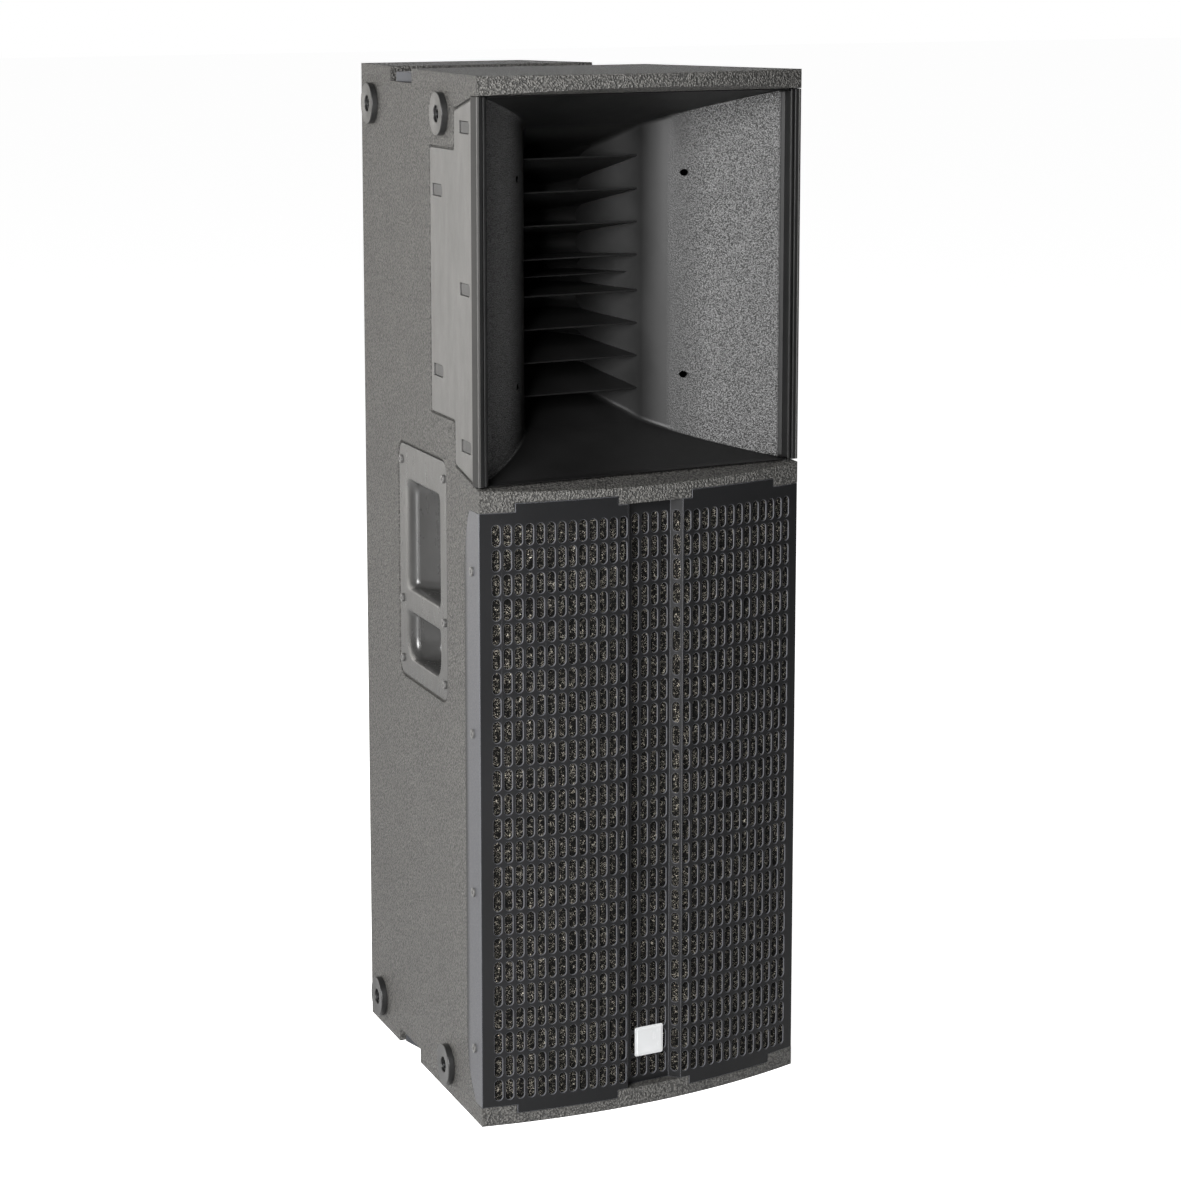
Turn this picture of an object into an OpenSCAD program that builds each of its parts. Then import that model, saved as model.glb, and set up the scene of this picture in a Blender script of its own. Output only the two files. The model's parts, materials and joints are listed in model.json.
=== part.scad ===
// Tall two-way PA speaker cabinet: tapered wooden body, bowed slotted grille, large vaned horn.
// Millimetres. The front faces -Y, the cabinet stands on z = 0.

/* [Cabinet] */
// Height of the cabinet
cab_h = 955; // [940:1:1150]
// Width across the front corners
front_w = 347; // [335:0.1:420]
// Width across the rear corners
rear_w = 179; // [170:1:230]
// Depth from the front corners to the rear face
side_run = 364; // [350:1:440]
// How far the front bows forward in the middle
bow = 23.4; // [16:0.1:28]
// Thickness of the side and rear panels
panel_t = 15; // [12:0.5:18]
// Thickness of the top and bottom plates
plate_t = 17.5; // [16:0.5:21]

/* [Grille and woofers] */
// Height of the grille between the plates
grille_h = 552.5; // [545:0.5:640]
// Thickness of the grille sheet
sheet_t = 1.5; // [1:0.1:2]
// Width of one slot
slot_w = 7.7; // [5:0.1:8.5]
// Length of one slot
slot_l = 19.8; // [12:0.1:20.5]
// Rows of slots
slot_rows = 24; // [12:1:24]
// Depth of the grille's central channel
channel_d = 11; // [4:0.5:12]
// Outer diameter of a woofer frame
woofer_d = 261; // [215:0.5:264]
// Thickness of the woofer baffle
baffle_t = 18; // [15:1:24]

/* [Horn] */
// Thickness of the middle plate at its front corners
mid_t = 20; // [18:1:26]
// Depth of the vanes' front edges behind the front corners
vane_v = 107; // [95:1:115]
// Width of the horn where the vanes start
throat_w = 125.5; // [100:0.1:140]
// Height of the horn where the vanes start
throat_h = 275; // [240:1:290]
// Number of vanes
vanes = 8; // [4:2:10]

/* [Handles and side points] */
// Width of a handle plate along the side
handle_w = 156; // [150:1:170]
// Height of a handle plate
handle_h = 224; // [215:1:230]
// Depth of the grip pocket
grip_depth = 45; // [30:1:50]
// Diameter of a round side foot
foot_d = 39; // [30:1:42]
// Thickness of a round side foot
foot_t = 6.3; // [4:0.1:9]
// Core radius of the M10 threads
thread_r = 4.25; // [4.2:0.05:4.35]

/* [Rear] */
// Width of the amplifier plate
amp_w = 124; // [116:1:128]
// Height of the amplifier plate
amp_h = 430; // [400:1:460]
// Diameter of the level knob
knob_d = 17; // [12:0.5:22]

/* [Hidden] */
$fn = 64;

// Overall places
depth = side_run + bow;
chord_y = bow - depth / 2;
rear_y = depth / 2;
half_w = front_w / 2;
taper = atan((front_w - rear_w) / 2 / side_run);
side_len = side_run / cos(taper);
panel_x = panel_t / cos(taper);
bow_r = (half_w * half_w + bow * bow) / (2 * bow);
bow_y = chord_y - bow + bow_r;
lean = tan(12.5);
fit = 0.3;

// Levels
grille_z0 = plate_t;
grille_z1 = grille_z0 + grille_h;
horn_z0 = grille_z1 + mid_t + 2.4;
horn_z1 = cab_h - plate_t;
horn_z = (horn_z0 + horn_z1) / 2;
horn_h = horn_z1 - horn_z0;
tab_h = 8;
tab_x0 = front_w * 0.1155;
tab_x1 = front_w * 0.404;

// Half the inside width, v millimetres behind the front corners
function inner_half(v) = half_w - v * tan(taper) - panel_x;
// Front face at x, d millimetres behind the surface
function front_y(x, d) = bow_y - sqrt((bow_r - d) * (bow_r - d) - x * x);

module plan() {
    polygon([[-half_w, chord_y], [half_w, chord_y], [rear_w / 2, rear_y], [-rear_w / 2, rear_y]]);
    intersection() {
        translate([0, bow_y]) circle(r = bow_r, $fn = 256);
        translate([-half_w, chord_y - bow - 1]) square([front_w, bow + 2]);
    }
}

// Space between the side panels, from v0 to v1 behind the front corners
module between_sides(v0, v1, gap = 0) {
    polygon([
        [-inner_half(v0) + gap, chord_y + v0], [inner_half(v0) - gap, chord_y + v0],
        [inner_half(v1) - gap, chord_y + v1], [-inner_half(v1) + gap, chord_y + v1]
    ]);
}

// Frame of one side: +X into the cabinet, +Y back along the side, side -1 is the left
module on_side(side) {
    mirror([side > 0 ? 1 : 0, 0, 0])
        translate([-half_w, chord_y, 0]) rotate([0, 0, -taper]) children();
}

// A flat shape drawn in (back, up), given its thickness into the cabinet
module into_side(t) rotate([90, 0, 90]) linear_extrude(t) children();

module rounded(size, r) {
    translate([r, 0]) square([size[0] - 2 * r, size[1]]);
    translate([0, r]) square([size[0], size[1] - 2 * r]);
    for (x = [r, size[0] - r], y = [r, size[1] - r]) translate([x, y]) circle(r);
}

// Horn wing
wing_t = 2.5;
wing_back = side_len * 0.384;
wing_step = side_len * 0.187;

module wing_outline(grow = 0) {
    g = grow;
    h0 = horn_z0;
    h1 = horn_z1;
    polygon([
        [0, h1 + g], [wing_step - 2 + g, h1 - 15.5 + g], [wing_step - 2 + g, h1 - 50 + g],
        [wing_back + g, h1 - 51 + g], [wing_back + g, h0 + 53 - g], [wing_step + g, h0 + 53 - g],
        [wing_step + g, h0 + 13 - g], [0, h0 - g]
    ]);
}

clips = [[0.099, 0.917], [0.324, 0.743], [0.102, 0.502], [0.324, 0.267], [0.098, 0.094]];
clip_w = 30;
clip_h = 11;

module clip_windows(grow = 0) {
    for (c = clips)
        translate([c[0] * side_len - clip_w / 2 - grow, horn_z0 + c[1] * horn_h - clip_h / 2 - grow])
            rounded([clip_w + 2 * grow, clip_h + 2 * grow], 4);
}

// Grille side flange
flange_s = 44;

module flange_outline(grow = 0) {
    g = grow;
    polygon([
        [0, grille_z0 + g / 4], [18, grille_z0 + g / 4], [30 + g, grille_z0 + 14], [39 + g, grille_z0 + 30],
        [flange_s + g, grille_z0 + 52], [flange_s + g, grille_z1 - 52], [39 + g, grille_z1 - 24],
        [33 + g, grille_z1 - 8], [27 + g, grille_z1 - g / 4], [0, grille_z1 - g / 4]
    ]);
}

// Handle places on the side
handle_s = side_len * 0.268;
handle_z = grille_z1 - grille_h * 0.348;
grip_h = 102;
grip_w = 104;
rest_h = 44;
grip_z = handle_z + 87;
rest_z = handle_z + 19;
grip_s = handle_s + 22;
handle_screw_at = [for (a = [9, handle_w - 9], b = [15, handle_h * 0.328, handle_h - 16]) [handle_s + a, handle_z + b]];

// Side points
foot_s = [side_len * 0.281, side_len * 0.897];
foot_z = [28, cab_h - 37];
insert_r = 7;

module at_feet() {
    for (side = [-1, 1], s = foot_s, z = foot_z)
        on_side(side) translate([0, s, z]) rotate([0, 90, 0]) children();
}

module side_panel(side) {
    difference() {
        mirror([side > 0 ? 1 : 0, 0, 0])
            translate([0, 0, plate_t]) linear_extrude(cab_h - 2 * plate_t)
                polygon([
                    [-half_w, chord_y], [-half_w + panel_x, chord_y],
                    [-rear_w / 2 + panel_x, rear_y], [-rear_w / 2, rear_y]
                ]);
        // Corner taken by the middle plate's nose, and the bare edges behind grille and horn
        translate([-front_w, chord_y - 1, grille_z1]) cube([2 * front_w, 13, mid_t + 2.4]);
        translate([-front_w, chord_y - 1, plate_t - 1]) cube([2 * front_w, 11, grille_h + 2]);
        translate([-front_w, chord_y - 1, horn_z0 - 1]) cube([2 * front_w, 17, cab_h]);
        on_side(side) {
            translate([-1, 0, 0]) into_side(wing_t + 1.1) wing_outline(2.2);
            translate([-1, 0, 0]) into_side(panel_t + 9) difference() {
                translate([-10, horn_z0 + 14]) square([wing_back + 4, horn_h - 28]);
                translate([wing_step - 12, horn_z0]) square([wing_back, 66]);
                translate([wing_step - 12, horn_z1 - 64]) square([wing_back, 80]);
            }
            translate([-1, 0, 0]) into_side(sheet_t + 1.2) flange_outline(1);
            translate([-1, handle_s - 2.5, handle_z - 2.5]) into_side(4)
                rounded([handle_w + 5, handle_h + 5], 17);
            translate([-1, grip_s - 5, rest_z - 5]) into_side(panel_t + 8)
                rounded([grip_w + 10, grip_z + grip_h - rest_z + 10], 12);
            for (s = foot_s, z = foot_z)
                translate([-1, s, z]) rotate([0, 90, 0]) cylinder(h = panel_t + 9, r = insert_r + 0.1);
        }
    }
}

module side_panel_left() color("dimgray") side_panel(-1);
module side_panel_right() color("dimgray") side_panel(1);

// Transverse grooves
groove_v = 195;
groove_w = 70;
groove_d = 13.5;
rail_w = 34;
rail_h = 9;

module groove(z) {
    translate([-half_w, chord_y + groove_v, z]) cube([front_w, groove_w, groove_d + 1]);
}

module top_plate() {
    color("dimgray") difference() {
        translate([0, 0, horn_z1]) linear_extrude(plate_t) plan();
        groove(cab_h - groove_d);
        // Underside rising to the bowed front edge
        translate([-front_w, chord_y, horn_z1]) rotate([90, 0, 90]) linear_extrude(2 * front_w)
            polygon([[0, -1], [0, 0], [-bow - 2, (bow + 2) * lean], [-bow - 2, -1]]);
    }
}

// Notches that let the grille's tabs in
module tab_notches(z) {
    for (side = [-1, 1])
        translate([side * (tab_x0 + tab_x1) / 2 - (tab_x1 - tab_x0) / 2 - 0.8, chord_y - bow - 1, z])
            cube([tab_x1 - tab_x0 + 1.6, bow + 6, tab_h + 1]);
}

module bottom_plate() {
    color("dimgray") difference() {
        linear_extrude(plate_t) plan();
        groove(-1);
        tab_notches(plate_t - tab_h);
    }
}

module mid_plate() {
    color("dimgray") difference() {
        union() {
            translate([0, 0, grille_z1]) linear_extrude(mid_t + 2.4) intersection() {
                plan();
                translate([-half_w, chord_y - bow]) square([front_w, bow + 12]);
            }
            translate([0, 0, grille_z1]) linear_extrude(mid_t - 3) between_sides(11, side_run - panel_t, fit / 3);
        }
        translate([-front_w, chord_y, grille_z1 + mid_t]) rotate([90, 0, 90]) linear_extrude(2 * front_w)
            polygon([[12.1, 12.1 * lean], [12.1, 20], [-bow - 2, 20], [-bow - 2, -(bow + 2) * lean]]);
        tab_notches(grille_z1 - 1);
    }
}

// Woofer places
baffle_v = 14;
woofer_r = woofer_d / 2;
woofer_z = [grille_z0 + grille_h * 0.2557, grille_z0 + grille_h * 0.7443];
basket_r = woofer_r - 18.5;
screw_r = woofer_r - 6;

module at_woofer(i) translate([0, chord_y + baffle_v, woofer_z[i]]) rotate([-90, 0, 0]) children();

module front_baffle() {
    color("saddlebrown") difference() {
        translate([0, 0, grille_z0]) linear_extrude(grille_h) between_sides(baffle_v, baffle_v + baffle_t, fit / 3);
        for (i = [0, 1]) at_woofer(i) translate([0, 0, -1]) cylinder(h = baffle_t + 2, r = basket_r + 1.5);
        for (i = [0, 1], k = [0:7]) at_woofer(i) rotate(k * 45 + 22.5) translate([screw_r, 0, -1])
            cylinder(h = baffle_t + 2, r = 2.4);
    }
}

// Rear
amp_z = grille_z0 + 55;
amp_recess = 12;
amp_t = 3;
amp_y = rear_y - amp_recess;
rim_w = 9;

module rear_panel() {
    color("saddlebrown") difference() {
        translate([0, 0, plate_t]) linear_extrude(cab_h - 2 * plate_t)
            between_sides(side_run - panel_t, side_run, fit / 3);
        translate([-amp_w / 2 - 0.5, amp_y - amp_t, amp_z - 0.5]) cube([amp_w + 1, amp_recess + 10, amp_h + 1]);
        translate([-amp_w / 2 + rim_w, rear_y - 30, amp_z + rim_w]) cube([amp_w - 2 * rim_w, 40, amp_h - 2 * rim_w]);
    }
}

brace_z = grille_z0 + grille_h / 2 - 7.5;

module internal_brace() {
    color("saddlebrown") difference() {
        translate([0, 0, brace_z]) linear_extrude(15) between_sides(baffle_v + baffle_t, 250, fit / 3);
        translate([0, chord_y + 145, brace_z - 1]) cylinder(h = 17, r = 62);
    }
}

module damping_wool() {
    color("lightgray") for (side = [-1, 1]) on_side(side)
        translate([panel_t + 0.2, 70, plate_t + 34]) cube([18, side_len - 130, 200]);
}

// Horn
mouth_x = half_w - 11;
wall = 3;
cell_v = vane_v + 78;
exit_r = 18;
flare_steps = 8;

// Half the inside width of the horn: curved from mouth to vanes
function flare(u) = throat_w / 2 + (mouth_x - throat_w / 2) * pow(1 - u, 1.35);

module horn_plan(grow = 0) {
    right = concat(
        [[mouth_x + grow, chord_y - 1]],
        [for (k = [0:flare_steps]) [flare(k / flare_steps) + grow, chord_y + 4 + (vane_v - 4) * k / flare_steps]],
        [[exit_r * 1.4 + grow, chord_y + cell_v]]
    );
    polygon(concat(right, [for (k = [len(right) - 1:-1:0]) [-right[k][0], right[k][1]]]));
}

module horn_section(grow = 0) {
    h = horn_h / 2 - 1.2;
    low = min(grow, 1.0);
    polygon([
        [chord_y - 1, horn_z - h - low], [chord_y + 4, horn_z - h - low],
        [chord_y + vane_v, horn_z - throat_h / 2 - grow], [chord_y + cell_v, horn_z - throat_h * 0.36 - grow],
        [chord_y + cell_v, horn_z + throat_h * 0.36 + grow], [chord_y + vane_v, horn_z + throat_h / 2 + grow],
        [chord_y + 4, horn_z + h + low], [chord_y - 1, horn_z + h + low]
    ]);
}

module horn_space(grow = 0) {
    intersection() {
        linear_extrude(cab_h) horn_plan(grow);
        translate([-front_w, 0, 0]) rotate([90, 0, 90]) linear_extrude(2 * front_w) horn_section(grow);
    }
}

module horn_shell() {
    color("#202022") {
        difference() {
            union() {
                intersection() {
                    horn_space(wall);
                    translate([-half_w, chord_y + 1, 0]) cube([front_w, side_run, cab_h]);
                }
                // Rim around the mouth
                translate([0, 0, horn_z0]) linear_extrude(horn_h) intersection() {
                    plan();
                    translate([-half_w, chord_y]) square([front_w, 10]);
                }
                for (side = [-1, 1]) on_side(side) difference() {
                    into_side(wing_t) wing_outline();
                    translate([-1, 0, 0]) into_side(wing_t + 2) clip_windows();
                }
                // Flange that the driver adapter bolts to
                translate([-40, chord_y + cell_v, horn_z - 110]) cube([80, 6, 220]);
            }
            translate([-front_w, chord_y - 1, horn_z0 - 5]) rotate([90, 0, 90]) linear_extrude(2 * front_w)
                polygon([[0, 0], [1, 5], [0, 5]]);
            horn_space();
            for (side = [-1, 1], dz = [-1, 1])
                translate([side * front_w * 0.262, chord_y, horn_z + dz * throat_h * 0.343])
                    rotate([-90, 0, 0]) cylinder(h = 90, r = 3.2);
            translate([0, chord_y + cell_v - 1, horn_z]) rotate([-90, 0, 0]) cylinder(h = 8, r = exit_r);
            translate([0, chord_y + cell_v - 1, horn_z + 62]) rotate([-90, 0, 0]) cylinder(h = 8, r = 10);
            translate([0, chord_y + cell_v - 1, horn_z - 62]) rotate([-90, 0, 0]) cylinder(h = 8, r = 10);
        }
    }
}

// One vane: a wedge, thin in front, leaning towards the throat's middle
module vane(place, front_t, back_t, back) {
    z0 = horn_z + place * throat_h / 2;
    z1 = horn_z + place * throat_h * 0.36;
    rotate([90, 0, 90]) translate([0, 0, -throat_w]) linear_extrude(2 * throat_w) polygon([
        [chord_y + vane_v, z0 - front_t / 2], [chord_y + back, z1 - back_t / 2],
        [chord_y + back, z1 + back_t / 2], [chord_y + vane_v, z0 + front_t / 2]
    ]);
}

module horn_vanes() {
    color("#202022") intersection() {
        linear_extrude(cab_h) horn_plan(-0.1);
        union() {
            for (k = [0:vanes / 2 - 1], side = [-1, 1])
                vane(side * (k * 0.224 + 0.123), 1.6, 7, cell_v - 2);
            translate([-throat_w, chord_y + vane_v + 10, horn_z - 1]) cube([2 * throat_w, cell_v - vane_v - 12, 2]);
        }
    }
}

module horn_clips() {
    color("#161618") for (side = [-1, 1]) on_side(side) {
        translate([wing_t - 1.2, 0, 0]) into_side(5) clip_windows(-0.4);
    }
}

module throat_adapter() {
    color("silver") translate([0, chord_y + cell_v + 6, horn_z]) rotate([-90, 0, 0]) difference() {
        union() {
            translate([-40, -110, 0]) cube([80, 220, 8]);
            cylinder(h = 34, r = 42);
        }
        translate([0, 0, -1]) cylinder(h = 36, r = exit_r);
    }
}

module compression_driver() {
    color("#303032") translate([0, chord_y + cell_v + 40, horn_z]) rotate([-90, 0, 0]) difference() {
        union() {
            cylinder(h = 12, r = 58);
            translate([0, 0, 12]) cylinder(h = 24, r = 66);
            translate([0, 0, 36]) cylinder(h = 22, r = 48);
        }
        translate([0, 0, -1]) cylinder(h = 14, r = exit_r);
    }
}

// Grille outline at depth d: bowed sides with a sunk channel in the middle
channel_x = front_w * 0.0856;
floor_x = channel_x - 7.2;
side_cols = 13;
col_x1 = half_w - 10.5;
col_pitch = (col_x1 - channel_x) / side_cols;

function facing(d, x_end) = [for (k = [0:side_cols + 1]) k <= side_cols
    ? [channel_x + (k == 0 ? 0.87 * d : 0) + k * col_pitch, front_y(channel_x + k * col_pitch, d)]
    : [x_end, front_y(x_end, d)]];

function grille_line(d, x_end) = let (
    half = facing(d, x_end),
    floor_y = front_y(0, 0) + channel_d + d
) concat(
    [for (k = [len(half) - 1:-1:0]) [-half[k][0], half[k][1]]],
    [[-floor_x - 0.4 * d, floor_y], [floor_x + 0.4 * d, floor_y]],
    half
);

module grille_band(d0, d1, x0, x1) {
    outer = grille_line(d0, x0);
    inner = grille_line(d1, x1);
    polygon(concat(outer, [for (k = [len(inner) - 1:-1:0]) inner[k]]));
}

// Sloping shoulder between a grille face and the channel's floor
shoulder_dx = channel_x - floor_x;
shoulder_dy = front_y(channel_x, 0) - front_y(0, 0) - channel_d;
shoulder_x = (channel_x + floor_x) / 2;
shoulder_y = front_y(channel_x, 0) - shoulder_dy / 2;
shoulder_cut = 6;

row_pitch = (grille_h - 37) / (slot_rows - 1);
row_z0 = grille_z0 + 16;

module slot_column(x) {
    straight = slot_l - slot_w;
    for (k = [0:slot_rows - 1]) translate([x, row_z0 + k * row_pitch]) {
        translate([-slot_w / 2, -straight / 2]) square([slot_w, straight]);
        for (s = [-1, 1]) translate([0, s * straight / 2]) circle(d = slot_w);
    }
}

module grille() {
    tab_w = tab_x1 - tab_x0;
    color("#26262a") {
        difference() {
            union() {
                translate([0, 0, grille_z0 + 0.3]) linear_extrude(grille_h - 0.6)
                    grille_band(0, sheet_t, half_w - 0.35, half_w - 0.75);
                intersection() {
                    translate([0, 0, grille_z0 - tab_h + 0.4]) linear_extrude(grille_h + 2 * tab_h - 0.8)
                        grille_band(0, sheet_t, half_w - 0.35, half_w - 0.75);
                    for (side = [-1, 1])
                        translate([side * (tab_x0 + tab_x1) / 2 - tab_w / 2, chord_y - bow - 2, 0])
                            cube([tab_w, bow + 8, cab_h]);
                }
                for (side = [-1, 1]) on_side(side) into_side(sheet_t) intersection() {
                    flange_outline();
                    translate([corner_gap, grille_z0 + 0.5]) square([100, grille_h - 1]);
                }
            }
            translate([0, chord_y + 2, 0]) rotate([90, 0, 0]) linear_extrude(bow + 6) {
                for (x = [floor_x * 0.235, floor_x * 0.7], s = [-1, 1]) slot_column(s * x);
                for (k = [0:side_cols - 1], s = [-1, 1]) slot_column(s * (channel_x + (k + 0.5) * col_pitch));
            }
            for (s = [-1, 1]) mirror([s < 0 ? 1 : 0, 0, 0]) translate([shoulder_x, shoulder_y, 0])
                rotate([90, 0, atan(shoulder_dy / shoulder_dx)])
                    linear_extrude(shoulder_cut, center = true) slot_column(0);
            for (side = [-1, 1]) on_side(side) for (z = flange_screw_z)
                translate([-1, flange_screw_s, z]) rotate([0, 90, 0]) cylinder(h = 4, r = 2.2);
        }
    }
}

corner_gap = 0.7;
flange_screw_s = 20;
flange_screw_z = [for (f = [0.094, 0.362, 0.63, 0.9]) grille_z0 + f * grille_h];

module grille_foam() {
    color("black") translate([0, 0, grille_z0 + 3]) linear_extrude(grille_h - 6)
        grille_band(sheet_t + 0.1, sheet_t + 5, half_w - 6, half_w - 9);
}

badge_w = 31;
badge_h = 28;

module badge() {
    color("gainsboro") translate([-badge_w / 2, front_y(0, 0) + channel_d - 2.2, grille_z0 + 26])
        rotate([90, 0, 0]) translate([0, 0, -2.2]) linear_extrude(2.2) rounded([badge_w, badge_h], 4);
}

// Countersunk screw, head at z = 0 and pointing down its own axis
module screw(head_r, head_t, shank_r, length) {
    difference() {
        union() {
            cylinder(h = head_t, r = head_r);
            translate([0, 0, head_t]) cylinder(h = length, r = shank_r);
        }
        translate([0, 0, -1]) cylinder(h = head_t + 0.4, r = head_r * 0.45, $fn = 6);
    }
}

module grille_screws() {
    color("black") for (side = [-1, 1], z = flange_screw_z) on_side(side)
        translate([-1.9, flange_screw_s, z]) rotate([0, 90, 0]) screw(4.2, 1.9, 2, 1.5);
}

module handle(side) {
    color("#2a2a2c") on_side(side) difference() {
        union() {
            translate([0.4, handle_s, handle_z]) into_side(2.6) rounded([handle_w, handle_h], 15);
            translate([0.4, grip_s - 3, grip_z - 3]) into_side(grip_depth + 3) rounded([grip_w + 6, grip_h + 6], 11);
            translate([0.4, grip_s - 3, rest_z - 3]) into_side(grip_depth * 0.6 + 3) rounded([grip_w + 6, rest_h + 6], 11);
        }
        translate([-1, grip_s, grip_z]) into_side(grip_depth + 1.4) rounded([grip_w, grip_h], 9);
        translate([-1, grip_s, rest_z]) into_side(grip_depth * 0.6 + 1.4) rounded([grip_w, rest_h], 9);
        for (p = handle_screw_at) translate([-1, p[0], p[1]]) rotate([0, 90, 0]) cylinder(h = 9, r = 2.2);
    }
}

module handle_left() handle(-1);
module handle_right() handle(1);

module handle_screws() {
    color("black") for (side = [-1, 1], p = handle_screw_at) on_side(side)
        translate([-1.5, p[0], p[1]]) rotate([0, 90, 0]) screw(4, 1.9, 2, 2.4);
}

module side_feet() {
    color("#151515") at_feet() translate([0, 0, -foot_t]) difference() {
        cylinder(h = foot_t, d = foot_d);
        translate([0, 0, -1]) cylinder(h = foot_t + 2, r = insert_r + 0.5);
    }
}

insert_l = 22;

module foot_inserts() {
    color("silver") at_feet() translate([0, 0, -foot_t + 2.5]) difference() {
        cylinder(h = insert_l, r = insert_r);
        translate([0, 0, -1]) cylinder(h = insert_l + 2, r = thread_r);
    }
}

rail_v = groove_v + 20;
rail_half = half_w - (rail_v + rail_w) * tan(taper) - 1.5;
rail_points = 40;

module rail(z) {
    translate([0, chord_y + rail_v, z]) difference() {
        translate([-rail_half, 0, 0]) cube([2 * rail_half, rail_w, rail_h]);
        for (x = [-rail_points, rail_points]) translate([x, rail_w / 2, -1]) cylinder(h = rail_h + 2, r = thread_r);
    }
}

module top_rail() color("silver") rail(cab_h - groove_d);
module bottom_rail() color("silver") rail(groove_d - rail_h);

// Woofer: local z runs back from the baffle's front face
pole_r = 25;
coil_r = 25.6;
coil_t = 0.8;
gap_r = 27;
magnet_r = 72;
magnet_z = 84;
cone_r = basket_r - 17;
cone_z = 46;
flange_t = 6;

module basket(i) {
    at_woofer(i) difference() {
        rotate_extrude() polygon([
            [basket_r - 2, -flange_t], [woofer_r, -flange_t], [woofer_r, 0], [basket_r, 0],
            [basket_r - 2, 16], [magnet_r - 8, magnet_z - 8], [magnet_r - 8, magnet_z], [gap_r + 8, magnet_z],
            [gap_r + 8, magnet_z - 3], [magnet_r - 12, magnet_z - 3], [magnet_r - 12, magnet_z - 9],
            [basket_r - 6, 14], [basket_r - 4, -flange_t + 3]
        ]);
        for (k = [0:5]) rotate(k * 60) translate([0, -22, 20]) cube([woofer_r, 44, magnet_z - 34]);
        for (k = [0:7]) rotate(k * 45 + 22.5) translate([screw_r, 0, -flange_t - 1]) cylinder(h = flange_t + 2, r = 2.4);
    }
}

module magnet(i) {
    at_woofer(i) translate([0, 0, magnet_z]) difference() {
        cylinder(h = 34, r = magnet_r);
        translate([0, 0, -1]) cylinder(h = 26, r = gap_r);
    }
    at_woofer(i) translate([0, 0, magnet_z]) cylinder(h = 30, r = pole_r);
}

module spider(i) {
    at_woofer(i) rotate_extrude() polygon([
        [coil_r + coil_t + 0.4, magnet_z - 12], [magnet_r - 12, magnet_z - 12],
        [magnet_r - 12, magnet_z - 9.5], [coil_r + coil_t + 0.4, magnet_z - 9.5]
    ]);
}

module surround(i) {
    roll = (basket_r - 2 - cone_r) / 2 - 0.4;
    mid = (basket_r - 2 + cone_r) / 2;
    at_woofer(i) translate([0, 0, -flange_t]) rotate_extrude() difference() {
        union() {
            translate([mid, 0]) circle(roll);
            translate([mid, -1.2]) square([basket_r + 4 - mid, 1.2]);
        }
        circle_at(mid, roll - 0.7);
        translate([mid - roll - 1, 0]) square([2 * roll + 8, 2 * roll]);
    }
}

module circle_at(x, r) translate([x, 0]) circle(r);

module cone(i) {
    at_woofer(i) rotate_extrude() polygon([
        [coil_r, cone_z], [cone_r - 3, -flange_t], [cone_r, -flange_t],
        [cone_r, 1.2 - flange_t], [cone_r - 2, 1.2 - flange_t],
        [coil_r + coil_t, cone_z + 2], [coil_r + coil_t, magnet_z + 14], [coil_r, magnet_z + 14]
    ]);
}

module dust_cap(i) {
    cap_r = 34;
    rise = 10;
    ball_r = (cap_r * cap_r + rise * rise) / (2 * rise);
    slope = (cone_z + flange_t) / (cone_r - 3 - coil_r);
    seat = cone_z - (cap_r - coil_r) * slope;
    at_woofer(i) translate([0, 0, seat - 0.1]) intersection() {
        difference() {
            translate([0, 0, ball_r - rise]) sphere(ball_r, $fn = 96);
            translate([0, 0, ball_r - rise]) sphere(ball_r - 1, $fn = 96);
        }
        translate([0, 0, -rise - 1]) cylinder(h = rise + 1, r = cap_r + 1);
    }
}

module upper_basket() color("#2b2b2b") basket(1);
module upper_magnet() color("#3a3a3a") magnet(1);
module upper_spider() color("tan") spider(1);
module upper_surround() color("#181818") surround(1);
module upper_cone() color("#202020") cone(1);
module upper_dust_cap() color("#202020") dust_cap(1);
module lower_basket() color("#2b2b2b") basket(0);
module lower_magnet() color("#3a3a3a") magnet(0);
module lower_spider() color("tan") spider(0);
module lower_surround() color("#181818") surround(0);
module lower_cone() color("#202020") cone(0);
module lower_dust_cap() color("#202020") dust_cap(0);

module woofer_screws() {
    color("black") for (i = [0, 1], k = [0:7]) at_woofer(i) rotate(k * 45 + 22.5)
        translate([screw_r, 0, -flange_t - 3]) screw(4, 3, 2.4, flange_t + 14);
}

// Rear controls, placed on the amplifier plate's outer face
module on_amp(x, z) translate([x, amp_y, amp_z + z]) rotate([-90, 0, 0]) children();

socket_at = [[-26, 330], [-26, 290], [-26, 250]];
knob_at = [30, 330];
button_at = [30, 290];
light_at = [30, 262];
rocker_at = [30, 60];
inlet_at = [-18, 60];
shaft_r = 3;
socket_r = 12;
pivot_r = 1.2;
pivot_clear = 0.3;
pivot_reach = 6.4;

module amp_plate() {
    color("#1c1c1e") difference() {
        translate([-amp_w / 2, amp_y - amp_t, amp_z]) cube([amp_w, amp_t, amp_h]);
        for (p = socket_at) on_amp(p[0], p[1]) translate([0, 0, -5]) cylinder(h = 9, r = socket_r - 0.9);
        on_amp(knob_at[0], knob_at[1]) translate([0, 0, -5]) cylinder(h = 9, r = 4);
        on_amp(button_at[0], button_at[1]) translate([0, 0, -5]) cylinder(h = 9, r = 6.5);
        on_amp(light_at[0], light_at[1]) translate([0, 0, -5]) cylinder(h = 9, r = 2.5);
        on_amp(rocker_at[0], rocker_at[1]) translate([-7, -13, -5]) cube([14, 26, 9]);
        on_amp(inlet_at[0], inlet_at[1]) translate([-15, -12, -5]) cube([30, 24, 9]);
        amp_screw_holes();
    }
}

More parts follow.
